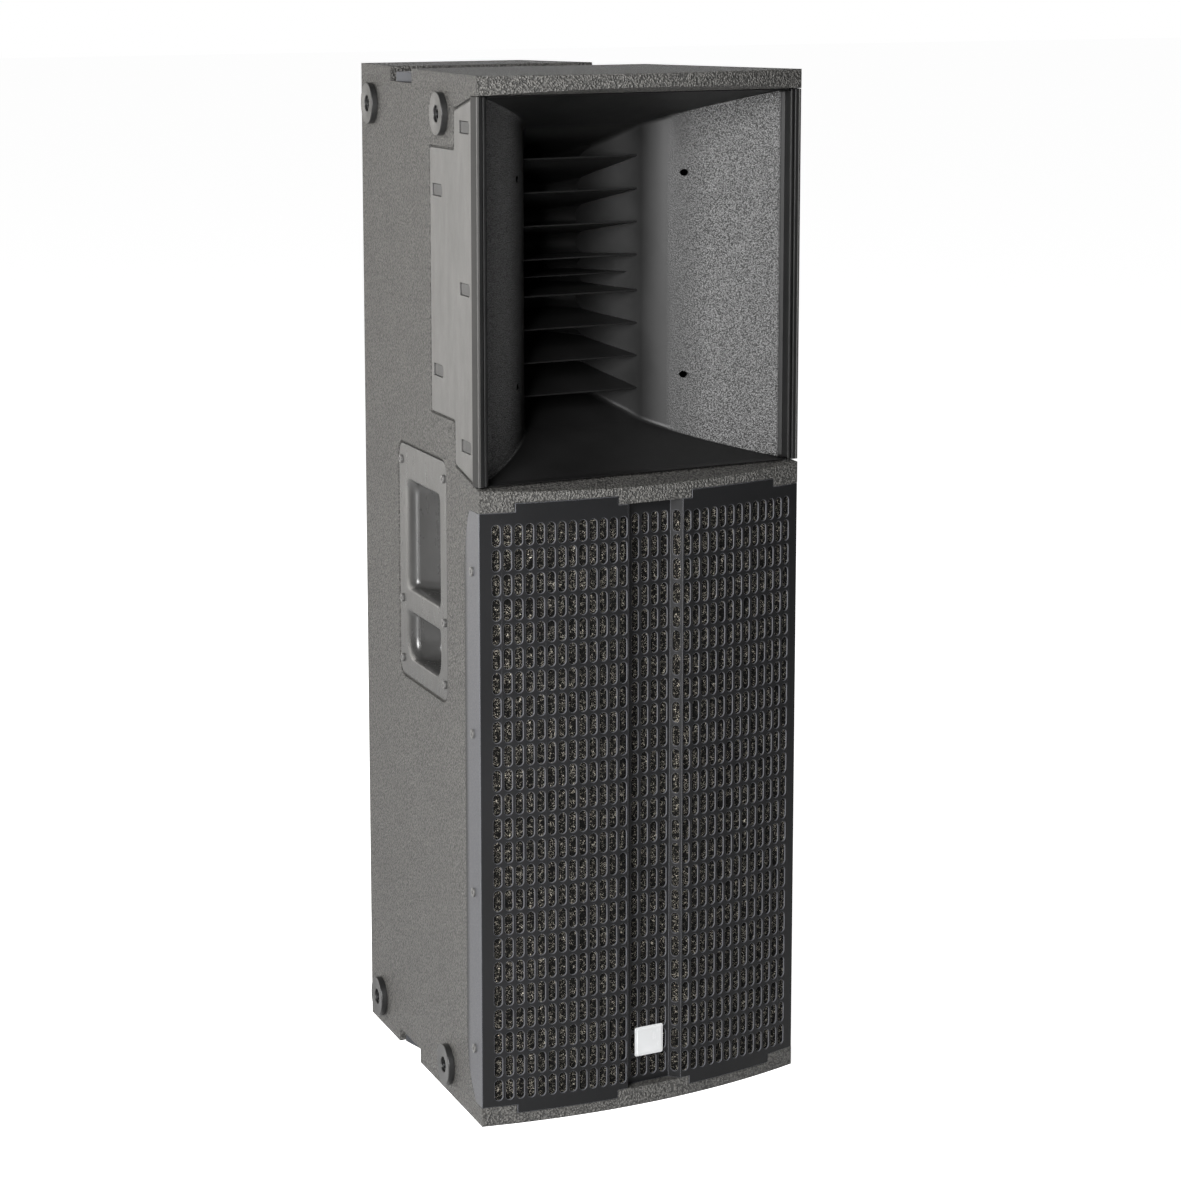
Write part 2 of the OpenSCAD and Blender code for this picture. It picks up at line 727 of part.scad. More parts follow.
module amp_screw_holes() {
    for (x = [-1, 1], f = [0.012, 0.34, 0.66, 0.988])
        on_amp(x * (amp_w / 2 - 4.5), f * amp_h) translate([0, 0, -5]) cylinder(h = 9, r = 1.8);
}

module amp_screws() {
    color("silver") for (x = [-1, 1], f = [0.012, 0.34, 0.66, 0.988])
        on_amp(x * (amp_w / 2 - 4.5), f * amp_h) translate([0, 0, 2.2]) mirror([0, 0, 1]) screw(3.2, 2.2, 1.8, amp_t);
}

module heatsink() {
    color("silver") translate([-45, amp_y - amp_t - 34, amp_z + 120]) {
        translate([0, 30, 0]) cube([90, 4, 110]);
        for (k = [0:8]) translate([k * 10.75, 0, 0]) cube([4, 31, 110]);
    }
}

board_y = amp_y - amp_t - 40;

module circuit_board() {
    color("darkgreen") {
        translate([-48, board_y, amp_z + 240]) cube([96, 1.6, 150]);
        translate([-20, board_y - 22, amp_z + 350]) cube([30, 22.2, 30]);
        translate([20, board_y - 14, amp_z + 260]) cube([20, 14.2, 40]);
    }
}

module board_standoffs() {
    color("goldenrod") for (x = [-43, 43], z = [245, 385])
        translate([x, board_y + 1.6, amp_z + z]) rotate([-90, 0, 0]) cylinder(h = 38.4, r = 3);
}

module mains_inlet() {
    color("#101010") on_amp(inlet_at[0], inlet_at[1]) difference() {
        union() {
            translate([-15, -12, -24]) cube([30, 24, 24.1]);
            translate([-20, -14, 0]) cube([40, 28, 2]);
        }
        translate([-12, -9, -18]) cube([24, 18, 30]);
    }
}

module signal_sockets() {
    color("#151515") for (p = socket_at) on_amp(p[0], p[1]) difference() {
        union() {
            translate([0, 0, -22]) cylinder(h = 22.1, r = socket_r - 1);
            translate([-13, -15, 0]) cube([26, 30, 2]);
        }
        translate([0, 0, -17]) cylinder(h = 24, r = socket_r - 3);
        translate([-3, -14, 0]) cube([6, 4.5, 9]);
    }
}

// Press tab that lets a plug go
module latch_tab(i) {
    color("silver") on_amp(socket_at[i][0], socket_at[i][1]) translate([-2.6, -13.6, 1.7]) cube([5.2, 3.7, 3.3]);
}

module latch_tab_1() latch_tab(0);
module latch_tab_2() latch_tab(1);

module level_knob() {
    color("#202020") on_amp(knob_at[0], knob_at[1]) difference() {
        union() {
            translate([0, 0, 1]) cylinder(h = 10, d = knob_d);
            translate([0, 0, 1]) for (k = [0:11]) rotate(k * 30) translate([knob_d / 2, 0, 0]) cylinder(h = 9, r = 0.7);
        }
        translate([0, 0, -1]) cylinder(h = 9, r = shaft_r);
        translate([-0.6, -knob_d, 10]) cube([1.2, knob_d, 3]);
    }
}

module knob_shaft() {
    color("silver") on_amp(knob_at[0], knob_at[1]) translate([0, 0, -12]) cylinder(h = 20, r = shaft_r);
}

// Rotary control behind the plate, with its bush through it
module level_control() {
    color("goldenrod") on_amp(knob_at[0], knob_at[1]) difference() {
        union() {
            translate([-8, -8, -16]) cube([16, 16, 13]);
            translate([0, 0, -4]) cylinder(h = 4, r = 3.9);
        }
        translate([0, 0, -13]) cylinder(h = 20, r = shaft_r + 0.05);
    }
}

module rocker_frame() {
    color("#101010") on_amp(rocker_at[0], rocker_at[1]) difference() {
        union() {
            translate([-7, -13, -18]) cube([14, 26, 18.1]);
            translate([-9, -15, 0]) cube([18, 30, 2]);
        }
        translate([-5.5, -11.5, -15]) cube([11, 23, 22]);
        rotate([0, 90, 0]) cylinder(h = 2 * (pivot_reach + 0.2), r = pivot_r + pivot_clear, center = true);
    }
}

// Rocker on two round pivots that turn in the frame's sides
module power_rocker() {
    color("firebrick") on_amp(rocker_at[0], rocker_at[1]) {
        translate([-5, 0, 0]) rotate([90, 0, 90])
            linear_extrude(10) polygon([[-10, -2], [10, -2], [10, 3.4], [0, 1.6], [-10, 3.4]]);
        rotate([0, 90, 0]) cylinder(h = 2 * pivot_reach, r = pivot_r, center = true);
    }
}

module button_guide() {
    color("#101010") on_amp(button_at[0], button_at[1]) difference() {
        union() {
            translate([0, 0, -14]) cylinder(h = 14.1, r = 6.5);
            cylinder(h = 1.5, r = 8);
        }
        translate([0, 0, -10]) cylinder(h = 14, r = 4.6);
    }
}

module mode_button() {
    color("gainsboro") on_amp(button_at[0], button_at[1]) translate([0, 0, -6]) cylinder(h = 10, r = 4.3);
}

module status_light() {
    color("deepskyblue") on_amp(light_at[0], light_at[1]) {
        translate([0, 0, -6]) cylinder(h = 7, r = 2.5);
        translate([0, 0, 1]) sphere(2.5);
    }
}

side_panel_left();
side_panel_right();
top_plate();
mid_plate();
bottom_plate();
front_baffle();
rear_panel();
internal_brace();
damping_wool();
horn_shell();
horn_vanes();
horn_clips();
throat_adapter();
compression_driver();
grille();
grille_foam();
badge();
grille_screws();
handle_left();
handle_right();
handle_screws();
side_feet();
foot_inserts();
top_rail();
bottom_rail();
upper_basket();
upper_magnet();
upper_spider();
upper_surround();
upper_cone();
upper_dust_cap();
lower_basket();
lower_magnet();
lower_spider();
lower_surround();
lower_cone();
lower_dust_cap();
woofer_screws();
amp_plate();
heatsink();
circuit_board();
board_standoffs();
mains_inlet();
signal_sockets();
latch_tab_1();
latch_tab_2();
level_knob();
knob_shaft();
level_control();
power_rocker();
rocker_frame();
mode_button();
button_guide();
status_light();
amp_screws();
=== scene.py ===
"""Gives a tall PA speaker cabinet its looks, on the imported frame."""

import json
import logging
import math
from dataclasses import dataclass, field
from enum import Enum
from typing import Sequence

import bmesh
import bpy
from mathutils import Matrix, Vector

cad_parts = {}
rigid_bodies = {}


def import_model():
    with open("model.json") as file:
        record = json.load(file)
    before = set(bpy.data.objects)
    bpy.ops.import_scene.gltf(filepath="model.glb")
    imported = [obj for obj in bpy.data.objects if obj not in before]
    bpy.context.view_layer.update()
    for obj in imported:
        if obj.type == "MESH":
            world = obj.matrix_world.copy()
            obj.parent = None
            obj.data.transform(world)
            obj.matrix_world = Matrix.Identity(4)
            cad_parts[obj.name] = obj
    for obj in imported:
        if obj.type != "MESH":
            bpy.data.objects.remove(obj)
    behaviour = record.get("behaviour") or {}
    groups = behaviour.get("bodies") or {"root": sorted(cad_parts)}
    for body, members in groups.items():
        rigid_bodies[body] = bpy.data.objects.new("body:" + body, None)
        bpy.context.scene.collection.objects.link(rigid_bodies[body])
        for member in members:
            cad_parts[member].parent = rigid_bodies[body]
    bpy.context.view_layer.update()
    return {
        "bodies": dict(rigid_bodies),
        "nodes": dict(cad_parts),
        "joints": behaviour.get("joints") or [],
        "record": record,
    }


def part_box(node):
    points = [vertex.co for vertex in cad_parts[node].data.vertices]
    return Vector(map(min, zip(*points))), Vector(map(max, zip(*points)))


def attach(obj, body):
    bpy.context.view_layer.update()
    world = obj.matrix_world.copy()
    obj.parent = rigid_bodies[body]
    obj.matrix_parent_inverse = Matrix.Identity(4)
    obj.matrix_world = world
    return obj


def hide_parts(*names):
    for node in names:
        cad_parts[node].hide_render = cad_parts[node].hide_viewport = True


LOG = logging.getLogger("cabinet")
MM = 0.001
DOUBLES = 0.02 * MM
ROOT = "cabinet"

Point = tuple[float, float]
Colour = tuple[float, float, float]


# ---------------------------------------------------------------- materials


class Graph:
    """A material's node tree, with short calls to add and join nodes."""

    def __init__(self, name: str) -> None:
        """Starts a material of that name with an empty principled surface."""
        self.material = bpy.data.materials.new(name)
        self.material.use_nodes = True
        self.tree = self.material.node_tree
        self.shader = self.tree.nodes["Principled BSDF"]
        self.coords = self.add("ShaderNodeTexCoord").outputs["Object"]

    def add(self, kind: str, **values: object) -> bpy.types.Node:
        """Adds a node and sets its properties."""
        node = self.tree.nodes.new(kind)
        for key, value in values.items():
            setattr(node, key, value)
        return node

    def feed(self, socket: bpy.types.NodeSocket, value: object) -> None:
        """Joins or sets a socket.

        Args:
            socket: The input to fill.
            value: An output socket to join, or a plain value to set.
        """
        if isinstance(value, bpy.types.NodeSocket):
            self.tree.links.new(value, socket)
        else:
            socket.default_value = value

    def noise(self, scale: float, detail: float = 4.0, rough: float = 0.55, vector: object = None) -> object:
        """Adds a noise texture.

        Args:
            scale: Its cells per metre.
            detail: How many finer layers it has.
            rough: How strong those layers are.
            vector: Where it is read, if not at the object coordinates.

        Returns:
            Its value, about 0 to 1.
        """
        node = self.add("ShaderNodeTexNoise")
        self.feed(node.inputs["Vector"], vector or self.coords)
        self.feed(node.inputs["Scale"], scale)
        self.feed(node.inputs["Detail"], detail)
        self.feed(node.inputs["Roughness"], rough)
        return node.outputs["Fac"]

    def cells(self, scale: float, feature: str = "F1", vector: object = None) -> object:
        """Adds a cell texture.

        Args:
            scale: Its cells per metre.
            feature: What it measures.
            vector: Where it is read, if not at the object coordinates.

        Returns:
            The distance it measures, in cells.
        """
        node = self.add("ShaderNodeTexVoronoi", feature=feature)
        self.feed(node.inputs["Vector"], vector or self.coords)
        self.feed(node.inputs["Scale"], scale)
        return node.outputs["Distance"]

    def stretched(self, scale: Sequence[float]) -> object:
        """Returns object coordinates scaled along each axis."""
        node = self.add("ShaderNodeMapping")
        self.feed(node.inputs["Vector"], self.coords)
        self.feed(node.inputs["Scale"], tuple(scale))
        return node.outputs["Vector"]

    def ramp(self, value: object, low: float, high: float,
             out_low: float = 0.0, out_high: float = 1.0) -> object:
        """Maps a value from one range to another, clamped.

        Args:
            value: What is mapped.
            low: Start of its range.
            high: End of its range.
            out_low: What the start becomes.
            out_high: What the end becomes.

        Returns:
            The mapped value.
        """
        node = self.add("ShaderNodeMapRange")
        for key, item in zip(("Value", "From Min", "From Max", "To Min", "To Max"),
                             (value, low, high, out_low, out_high)):
            self.feed(node.inputs[key], item)
        return node.outputs["Result"]

    def mix(self, factor: object, a: Colour, b: object) -> object:
        """Blends two colours.

        Args:
            factor: 0 for the first, 1 for the second.
            a: The first colour.
            b: The second colour.

        Returns:
            The blended colour.
        """
        node = self.add("ShaderNodeMix", data_type="RGBA")
        self.feed(node.inputs["Factor"], factor)
        self.feed(node.inputs[6], (*a, 1.0) if isinstance(a, tuple) else a)
        self.feed(node.inputs[7], (*b, 1.0) if isinstance(b, tuple) else b)
        return node.outputs[2]

    def maths(self, kind: str, a: object, b: object = 0.0) -> object:
        """Adds a maths node.

        Args:
            kind: Its operation.
            a: The first value.
            b: The second value, where there is one.

        Returns:
            The result.
        """
        node = self.add("ShaderNodeMath", operation=kind)
        self.feed(node.inputs[0], a)
        self.feed(node.inputs[1], b)
        return node.outputs["Value"]

    def times(self, a: object, b: object) -> object:
        """Returns the product of two values."""
        return self.maths("MULTIPLY", a, b)

    def distance(self, value: object) -> object:
        """Returns a value without its sign."""
        return self.maths("ABSOLUTE", value)

    def axes(self, vector: object) -> bpy.types.bpy_prop_collection:
        """Returns the outputs "X", "Y" and "Z" of a vector."""
        node = self.add("ShaderNodeSeparateXYZ")
        self.feed(node.inputs[0], vector)
        return node.outputs

    def facing(self) -> bpy.types.bpy_prop_collection:
        """Returns the outputs "X", "Y" and "Z" of the way the surface faces."""
        return self.axes(self.add("ShaderNodeNewGeometry").outputs["Normal"])

    def edge_light(self, radius: float) -> object:
        """Returns how strongly a point lies on a sharp edge, from 0 to 1; the paint and plastics lighten it
        as wear, the powder coat as a painted highlight.
        """
        bevel = self.add("ShaderNodeBevel", samples=4)
        self.feed(bevel.inputs["Radius"], radius)
        geometry = self.add("ShaderNodeNewGeometry")
        dot = self.add("ShaderNodeVectorMath", operation="DOT_PRODUCT")
        self.feed(dot.inputs[0], bevel.outputs["Normal"])
        self.feed(dot.inputs[1], geometry.outputs["Normal"])
        return self.ramp(dot.outputs["Value"], 0.995, 0.86)

    def bump(self, layers: Sequence[tuple[object, float, float]], soft_edge: float = 0.0) -> None:
        """Stacks bumps on the surface.

        Args:
            layers: Height value, strength and depth in metres of each bump.
            soft_edge: Radius in metres by which sharp edges look rounded.
        """
        normal = None
        if soft_edge:
            bevel = self.add("ShaderNodeBevel", samples=4)
            self.feed(bevel.inputs["Radius"], soft_edge)
            normal = bevel.outputs["Normal"]
        for height, strength, depth in layers:
            node = self.add("ShaderNodeBump")
            self.feed(node.inputs["Height"], height)
            self.feed(node.inputs["Strength"], strength)
            self.feed(node.inputs["Distance"], depth)
            if normal is not None:
                self.feed(node.inputs["Normal"], normal)
            normal = node.outputs["Normal"]
        if normal is not None:
            self.feed(self.shader.inputs["Normal"], normal)


@dataclass(frozen=True)
class Finish:
    """A surface finish: what is common to all of them."""

    name: str
    colour: Colour
    rough: float = 0.5
    metal: float = 0.0
    shine: float = 0.5
    soft_edge: float = 0.0008

    def dress(self, g: Graph) -> None:
        """Fills in the colour, roughness and bump."""
        raise NotImplementedError

    def material(self) -> bpy.types.Material:
        """Returns the finish as a material, made once."""
        label = f"finish_{self.name}"
        found = bpy.data.materials.get(label)
        if found:
            return found
        g = Graph(label)
        g.feed(g.shader.inputs["Metallic"], self.metal)
        g.feed(g.shader.inputs["Specular IOR Level"], self.shine)
        self.dress(g)
        return g.material

    def tone(self, factor: float) -> Colour:
        """Returns the colour made darker or lighter by a factor."""
        return tuple(min(1.0, c * factor) for c in self.colour)


@dataclass(frozen=True)
class SprayedPaint(Finish):
    """Hard-wearing textured paint: round droplets over a fine grain."""

    drops: float = 560.0
    contrast: float = 0.72
    depth: float = 0.0021

    def dress(self, g: Graph) -> None:
        """Speckles the colour, lighter on the droplet tops as partly grain and partly painted glints, and
        raises the droplets.
        """
        drops = g.cells(self.drops, "SMOOTH_F1")
        grain = g.noise(self.drops * 2.1, 2.0, 0.6)
        patch = g.noise(14.0, 3.0)
        height = g.maths("ADD", g.times(g.ramp(drops, 0.1, 0.62, 1.0, 0.0), 0.7), g.times(grain, 0.6))
        # Partly the paint's own grain and partly painted glints: the droplet tops are painted lighter.
        grain_and_glints = g.ramp(height, 0.35, 0.95)
        base = g.mix(grain_and_glints, self.tone(1.0 - self.contrast), self.tone(1.0 + self.contrast * 2.0))
        shade = g.mix(g.ramp(patch, 0.3, 0.7, 0.0, 0.25), base, self.tone(0.72))
        lightened = g.mix(g.times(g.edge_light(2 * MM), 0.45), shade, self.tone(1.9))
        g.feed(g.shader.inputs["Base Color"], lightened)
        g.feed(g.shader.inputs["Roughness"], g.ramp(grain, 0.3, 0.7, self.rough - 0.12, self.rough + 0.14))
        g.bump([(height, 0.9, self.depth)], self.soft_edge)


@dataclass(frozen=True)
class MouldedPlastic(Finish):
    """Satin moulded plastic with a spark-eroded grain."""

    grain: float = 2400.0
    depth: float = 0.0001
    coarse: float = 0.0

    def dress(self, g: Graph) -> None:
        """Adds the fine grain, faint flow marks and rubbed edges."""
        fine = g.noise(self.grain, 2.0, 0.5)
        flow = g.noise(9.0, 4.0, 0.6)
        scuff = g.noise(60.0, 6.0, 0.7, g.stretched((1.0, 1.0, 0.35)))
        base = g.mix(g.ramp(flow, 0.35, 0.65), self.tone(0.9), self.tone(1.12))
        marked = g.mix(g.ramp(scuff, 0.62, 0.75, 0.0, 0.22), base, self.tone(1.5))
        lightened = g.mix(g.times(g.edge_light(1.2 * MM), 0.35), marked, self.tone(1.8))
        g.feed(g.shader.inputs["Base Color"], lightened)
        g.feed(g.shader.inputs["Roughness"], g.ramp(scuff, 0.3, 0.75, self.rough - 0.05, self.rough + 0.08))
        layers = [(fine, 0.5, self.depth)]
        if self.coarse:
            layers.append((g.cells(self.coarse, "SMOOTH_F1"), 0.6, self.depth * 2.5))
        g.bump(layers, self.soft_edge)


@dataclass(frozen=True)
class HornPlastic(Finish):
    """The horn's plastic: coarse spark grain on the side walls near the mouth, painted there with pale specks
    as painted glints, smooth further in.
    """

    grain: float = 900.0
    depth: float = 0.001
    smooth_from: float = -0.088
    grain_to: float = -0.118
    rim_x: float = 0.16
    rim_fade: float = 0.002
    # How much lighter the painted glints on the grain are.
    pale: float = 25.0

    def dress(self, g: Graph) -> None:
        """Grains the side walls, paints pale specks on the grain as painted glints, and leaves the rest
        satin.
        """
        place = g.axes(g.coords)
        near = g.ramp(place["Y"], self.grain_to, self.smooth_from, 1.0, 0.0)
        side = g.ramp(g.distance(g.facing()["X"]), 0.3, 0.5)
        inside = g.ramp(g.distance(place["X"]), self.rim_x - self.rim_fade, self.rim_x, 1.0, 0.0)
        mask = g.times(g.times(near, side), inside)
        drops = g.ramp(g.cells(self.grain, "SMOOTH_F1"), 0.12, 0.6, 1.0, 0.0)
        fine = g.noise(self.grain * 2.4, 3.0, 0.6)
        height = g.times(g.maths("ADD", drops, g.times(fine, 0.8)), mask)
        flow = g.noise(16.0, 4.0, 0.6)
        base = g.mix(g.ramp(flow, 0.35, 0.65), self.tone(0.85), self.tone(1.15))
        # Painted glints: pale specks on the coarse grain near the mouth stand in for the glints of its
        # droplets.
        painted_glints = g.ramp(g.maths("ADD", g.times(drops, 0.55), g.times(fine, 0.75)), 0.3, 0.95)
        g.feed(g.shader.inputs["Base Color"], g.mix(g.times(mask, painted_glints), base, self.tone(self.pale)))
        g.feed(g.shader.inputs["Roughness"], g.ramp(flow, 0.3, 0.7, self.rough - 0.05, self.rough + 0.06))
        g.bump([(height, 0.9, self.depth), (fine, 0.25, 0.00008)], self.soft_edge)


@dataclass(frozen=True)
class PowderCoat(Finish):
    """Satin powder coat on steel sheet: a faint orange peel, painted highlights on the edges and slot walls,
    and a painted sheen on the side flanges.

    Attributes:
        peel: Cells per metre of the orange peel.
        rim: How much lighter an edge is painted, as a painted highlight.
        rim_r: How far an edge reaches, in metres.
        walls: How much of that painted highlight the walls of the slots get.
        flange: How much lighter the flanges on the cabinet's sides are painted, as a painted sheen.
        flange_x: Where a side flange starts, out from the middle.
        face_y: Where the slotted face ends, behind the front.
    """

    peel: float = 700.0
    rim: float = 2.4
    rim_r: float = 0.0006
    walls: float = 0.0
    flange: float = 1.0
    flange_x: float = 0.166
    face_y: float = -0.16

    def dress(self, g: Graph) -> None:
        """Adds orange peel, colour drift, painted highlights on the edges and slot walls, and a painted sheen
        on the flanges.
        """
        peel = g.noise(self.peel, 3.0, 0.5)
        drift = g.noise(11.0, 3.0)
        fleck = g.noise(2600.0, 1.0, 0.5)
        base = g.mix(g.ramp(drift, 0.3, 0.7), self.tone(0.88), self.tone(1.14))
        flecked = g.mix(g.ramp(fleck, 0.6, 0.72, 0.0, 0.35), base, self.tone(2.0))
        facing, place = g.facing(), g.axes(g.coords)
        outer = g.ramp(g.distance(place["X"]), self.flange_x - 2 * MM, self.flange_x)
        front = g.ramp(place["Y"], self.face_y - 3 * MM, self.face_y, 1.0, 0.0)
        # Painted highlight: the walls of the slots, on the slotted front only, are painted lighter as if
        # catching light.
        wall = g.ramp(g.distance(facing["Y"]), 0.3, 0.42, self.walls, 0.0)
        wall = g.times(wall, g.times(g.maths("SUBTRACT", 1.0, outer), front))
        # Painted highlight: edges and slot walls are painted lighter by the rim tone.
        edge = g.maths("MAXIMUM", wall, g.times(g.edge_light(self.rim_r), 0.85))
        lightened = g.mix(edge, flecked, self.tone(self.rim))
        # Painted sheen: the side flanges are painted lighter in place of their sheen.
        if self.flange > 1.0:
            lip = g.times(g.ramp(g.distance(facing["X"]), 0.85, 0.93), outer)
            lightened = g.mix(lip, lightened, self.tone(self.flange))
        g.feed(g.shader.inputs["Base Color"], lightened)
        g.feed(g.shader.inputs["Roughness"], g.ramp(peel, 0.3, 0.7, self.rough - 0.05, self.rough + 0.08))
        g.bump([(peel, 0.35, 0.00012)], self.soft_edge)


@dataclass(frozen=True)
class OpenFoam(Finish):
    """Open-cell acoustic foam: dark pores with bright painted glints on the struts."""

    # Colour of the painted glints on the struts.
    strut_glint: Colour = (0.95, 0.88, 0.74)
    pores: float = 740.0

    def dress(self, g: Graph) -> None:
        """Draws the network of struts with painted glints on it, and sinks the pores."""
        edge = g.cells(self.pores, "DISTANCE_TO_EDGE")
        second = g.cells(self.pores * 0.61, "DISTANCE_TO_EDGE")
        patch = g.noise(260.0, 2.0, 0.5)
        net = g.maths("MAXIMUM", g.ramp(edge, 0.02, 0.13, 1.0, 0.0), g.ramp(second, 0.015, 0.075, 0.8, 0.0))
        # Painted glints: bright specks on the struts, in patches, stand in for the light they catch.
        glint = g.ramp(g.noise(self.pores * 1.6, 1.0, 0.5), 0.55, 0.62)
        lit = g.times(g.times(net, g.ramp(patch, 0.4, 0.62)), glint)
        g.feed(g.shader.inputs["Base Color"], g.mix(lit, self.colour, self.strut_glint))
        g.feed(g.shader.inputs["Roughness"], g.ramp(patch, 0.3, 0.7, self.rough - 0.1, self.rough))
        g.bump([(net, 1.0, 0.0012)])


@dataclass(frozen=True)
class BareMetal(Finish):
    """Cast, turned or rolled metal, with streaks along one axis."""

    streak: tuple[float, float, float] = (1.0, 1.0, 1.0)
    grain: float = 500.0

    def dress(self, g: Graph) -> None:
        """Adds streaks, stains and a fine scratch bump."""
        streaks = g.noise(self.grain, 5.0, 0.65, g.stretched(self.streak))
        stain = g.noise(45.0, 4.0, 0.6)
        base = g.mix(g.ramp(streaks, 0.3, 0.7), self.tone(0.8), self.tone(1.15))
        aged = g.mix(g.ramp(stain, 0.5, 0.8, 0.0, 0.35), base, self.tone(0.6))
        g.feed(g.shader.inputs["Base Color"], aged)
        g.feed(g.shader.inputs["Roughness"], g.ramp(streaks, 0.3, 0.7, self.rough - 0.08, self.rough + 0.12))
        g.bump([(streaks, 0.25, 0.00006)], self.soft_edge)


@dataclass(frozen=True)
class Plywood(Finish):
    """Bare birch plywood, with long grain on its faces."""

    def dress(self, g: Graph) -> None:
        """Runs the grain up the panel and pits it finely."""
        grain = g.noise(55.0, 6.0, 0.6, g.stretched((6.0, 6.0, 0.5)))
        pore = g.noise(900.0, 2.0, 0.6, g.stretched((1.0, 1.0, 0.08)))
        base = g.mix(g.ramp(grain, 0.35, 0.65), self.tone(0.8), self.tone(1.15))
        g.feed(g.shader.inputs["Base Color"], g.mix(g.ramp(pore, 0.58, 0.7, 0.0, 0.5), base, self.tone(0.5)))
        g.feed(g.shader.inputs["Roughness"], g.ramp(grain, 0.3, 0.7, self.rough - 0.08, self.rough + 0.1))
        g.bump([(grain, 0.3, 0.0001), (pore, 0.4, 0.0001)], self.soft_edge)


@dataclass(frozen=True)
class Woven(Finish):
    """Coated paper, doped cloth or wool: crossing fibres."""

    thread: float = 900.0
    sheen: float = 0.3

    def dress(self, g: Graph) -> None:
        """Crosses two sets of fibres and gives them a sheen."""
        across = g.noise(self.thread, 2.0, 0.5, g.stretched((1.0, 1.0, 0.18)))
        along = g.noise(self.thread, 2.0, 0.5, g.stretched((0.18, 0.18, 1.0)))
        fibre = g.maths("MAXIMUM", across, along)
        base = g.mix(g.ramp(fibre, 0.45, 0.7), self.tone(0.7), self.tone(1.35))
        g.feed(g.shader.inputs["Base Color"], base)
        g.feed(g.shader.inputs["Roughness"], g.ramp(fibre, 0.4, 0.7, self.rough, self.rough - 0.12))
        g.feed(g.shader.inputs["Sheen Weight"], self.sheen)
        g.bump([(fibre, 0.6, 0.0003)])


@dataclass(frozen=True)
class Lens(Finish):
    """A small moulded lens."""

    def dress(self, g: Graph) -> None:
        """Tints the lens unevenly, deeper in the middle."""
        depth = g.noise(420.0, 2.0)
        g.feed(g.shader.inputs["Base Color"], g.mix(g.ramp(depth, 0.3, 0.7), self.tone(0.6), self.tone(1.2)))
        g.feed(g.shader.inputs["Roughness"], g.ramp(depth, 0.3, 0.7, self.rough, self.rough + 0.1))
        g.feed(g.shader.inputs["Coat Weight"], 0.6)
        g.bump([(depth, 0.2, 0.00005)])


class Look(Enum):
    """The named finishes of the cabinet."""

    CABINET = SprayedPaint("cabinet_paint", (0.05, 0.0484, 0.045), 0.49, soft_edge=0.003)
    HORN = HornPlastic("horn_satin", (0.0078, 0.0078, 0.0078), 0.4, shine=0.19)
    WING = MouldedPlastic("wing_satin", (0.034, 0.0336, 0.0326), 0.36, grain=2600.0)
    CLIP = MouldedPlastic("clip_plastic", (0.03, 0.03, 0.03), 0.5, shine=0.35)
    HANDLE = MouldedPlastic("handle_satin", (0.024, 0.0237, 0.0231), 0.29, grain=2600.0)
    FOOT = MouldedPlastic("foot_rubber", (0.009, 0.009, 0.009), 0.32, grain=1900.0)
    SOCKET = MouldedPlastic("socket_plastic", (0.016, 0.016, 0.017), 0.45)
    BUTTON = MouldedPlastic("button_plastic", (0.5, 0.5, 0.49), 0.3)
    ROCKER = MouldedPlastic("rocker_plastic", (0.35, 0.02, 0.02), 0.25)
    BADGE = MouldedPlastic("badge_plate", (0.42, 0.425, 0.43), 0.25, grain=1500.0, depth=0.00004)
    BOARD = MouldedPlastic("board_green", (0.02, 0.11, 0.045), 0.4)
    # The grille's rim and walls values set its painted highlights, and its flange value a painted sheen.
    GRILLE = PowderCoat("grille_coat", (0.0054, 0.0055, 0.006), 0.38, soft_edge=0.0007, rim=24.0,
                        rim_r=0.0009, walls=0.5, flange=11.0, shine=0.22)
    PLATE = PowderCoat("amp_plate_coat", (0.024, 0.024, 0.026), 0.42)
    SCREW = BareMetal("black_screw", (0.075, 0.074, 0.072), 0.3, metal=0.0)
    STEEL = BareMetal("zinc_steel", (0.5, 0.49, 0.47), 0.3, metal=1.0)
    INSERT = BareMetal("blackened_steel", (0.04, 0.04, 0.042), 0.3, metal=1.0)
    RAIL = BareMetal("rail_alloy", (0.06, 0.064, 0.075), 0.4, metal=1.0, streak=(0.05, 1.0, 1.0))
    CAST = BareMetal("cast_alloy", (0.12, 0.12, 0.125), 0.5, metal=0.7)
    MAGNET = BareMetal("magnet_black", (0.045, 0.045, 0.047), 0.45, metal=0.3)
    BRASS = BareMetal("turned_brass", (0.55, 0.4, 0.16), 0.3, metal=1.0)
    WOOD = Plywood("bare_plywood", (0.42, 0.3, 0.17), 0.6)
    FOAM = OpenFoam("black_foam", (0.0025, 0.0024, 0.0022), 0.8, shine=0.1)
    WOOL = Woven("damping_wool", (0.5, 0.5, 0.47), 0.95, thread=400.0, sheen=0.5)
    CONE = Woven("coated_paper", (0.03, 0.03, 0.03), 0.6)
    CLOTH = Woven("doped_cloth", (0.022, 0.022, 0.022), 0.5)
    SPIDER = Woven("spider_cloth", (0.4, 0.25, 0.08), 0.8)
    LIGHT = Lens("light_lens", (0.08, 0.35, 0.8), 0.12)

    @property
    def material(self) -> bpy.types.Material:
        """Returns the finish as a material."""
        return self.value.material()


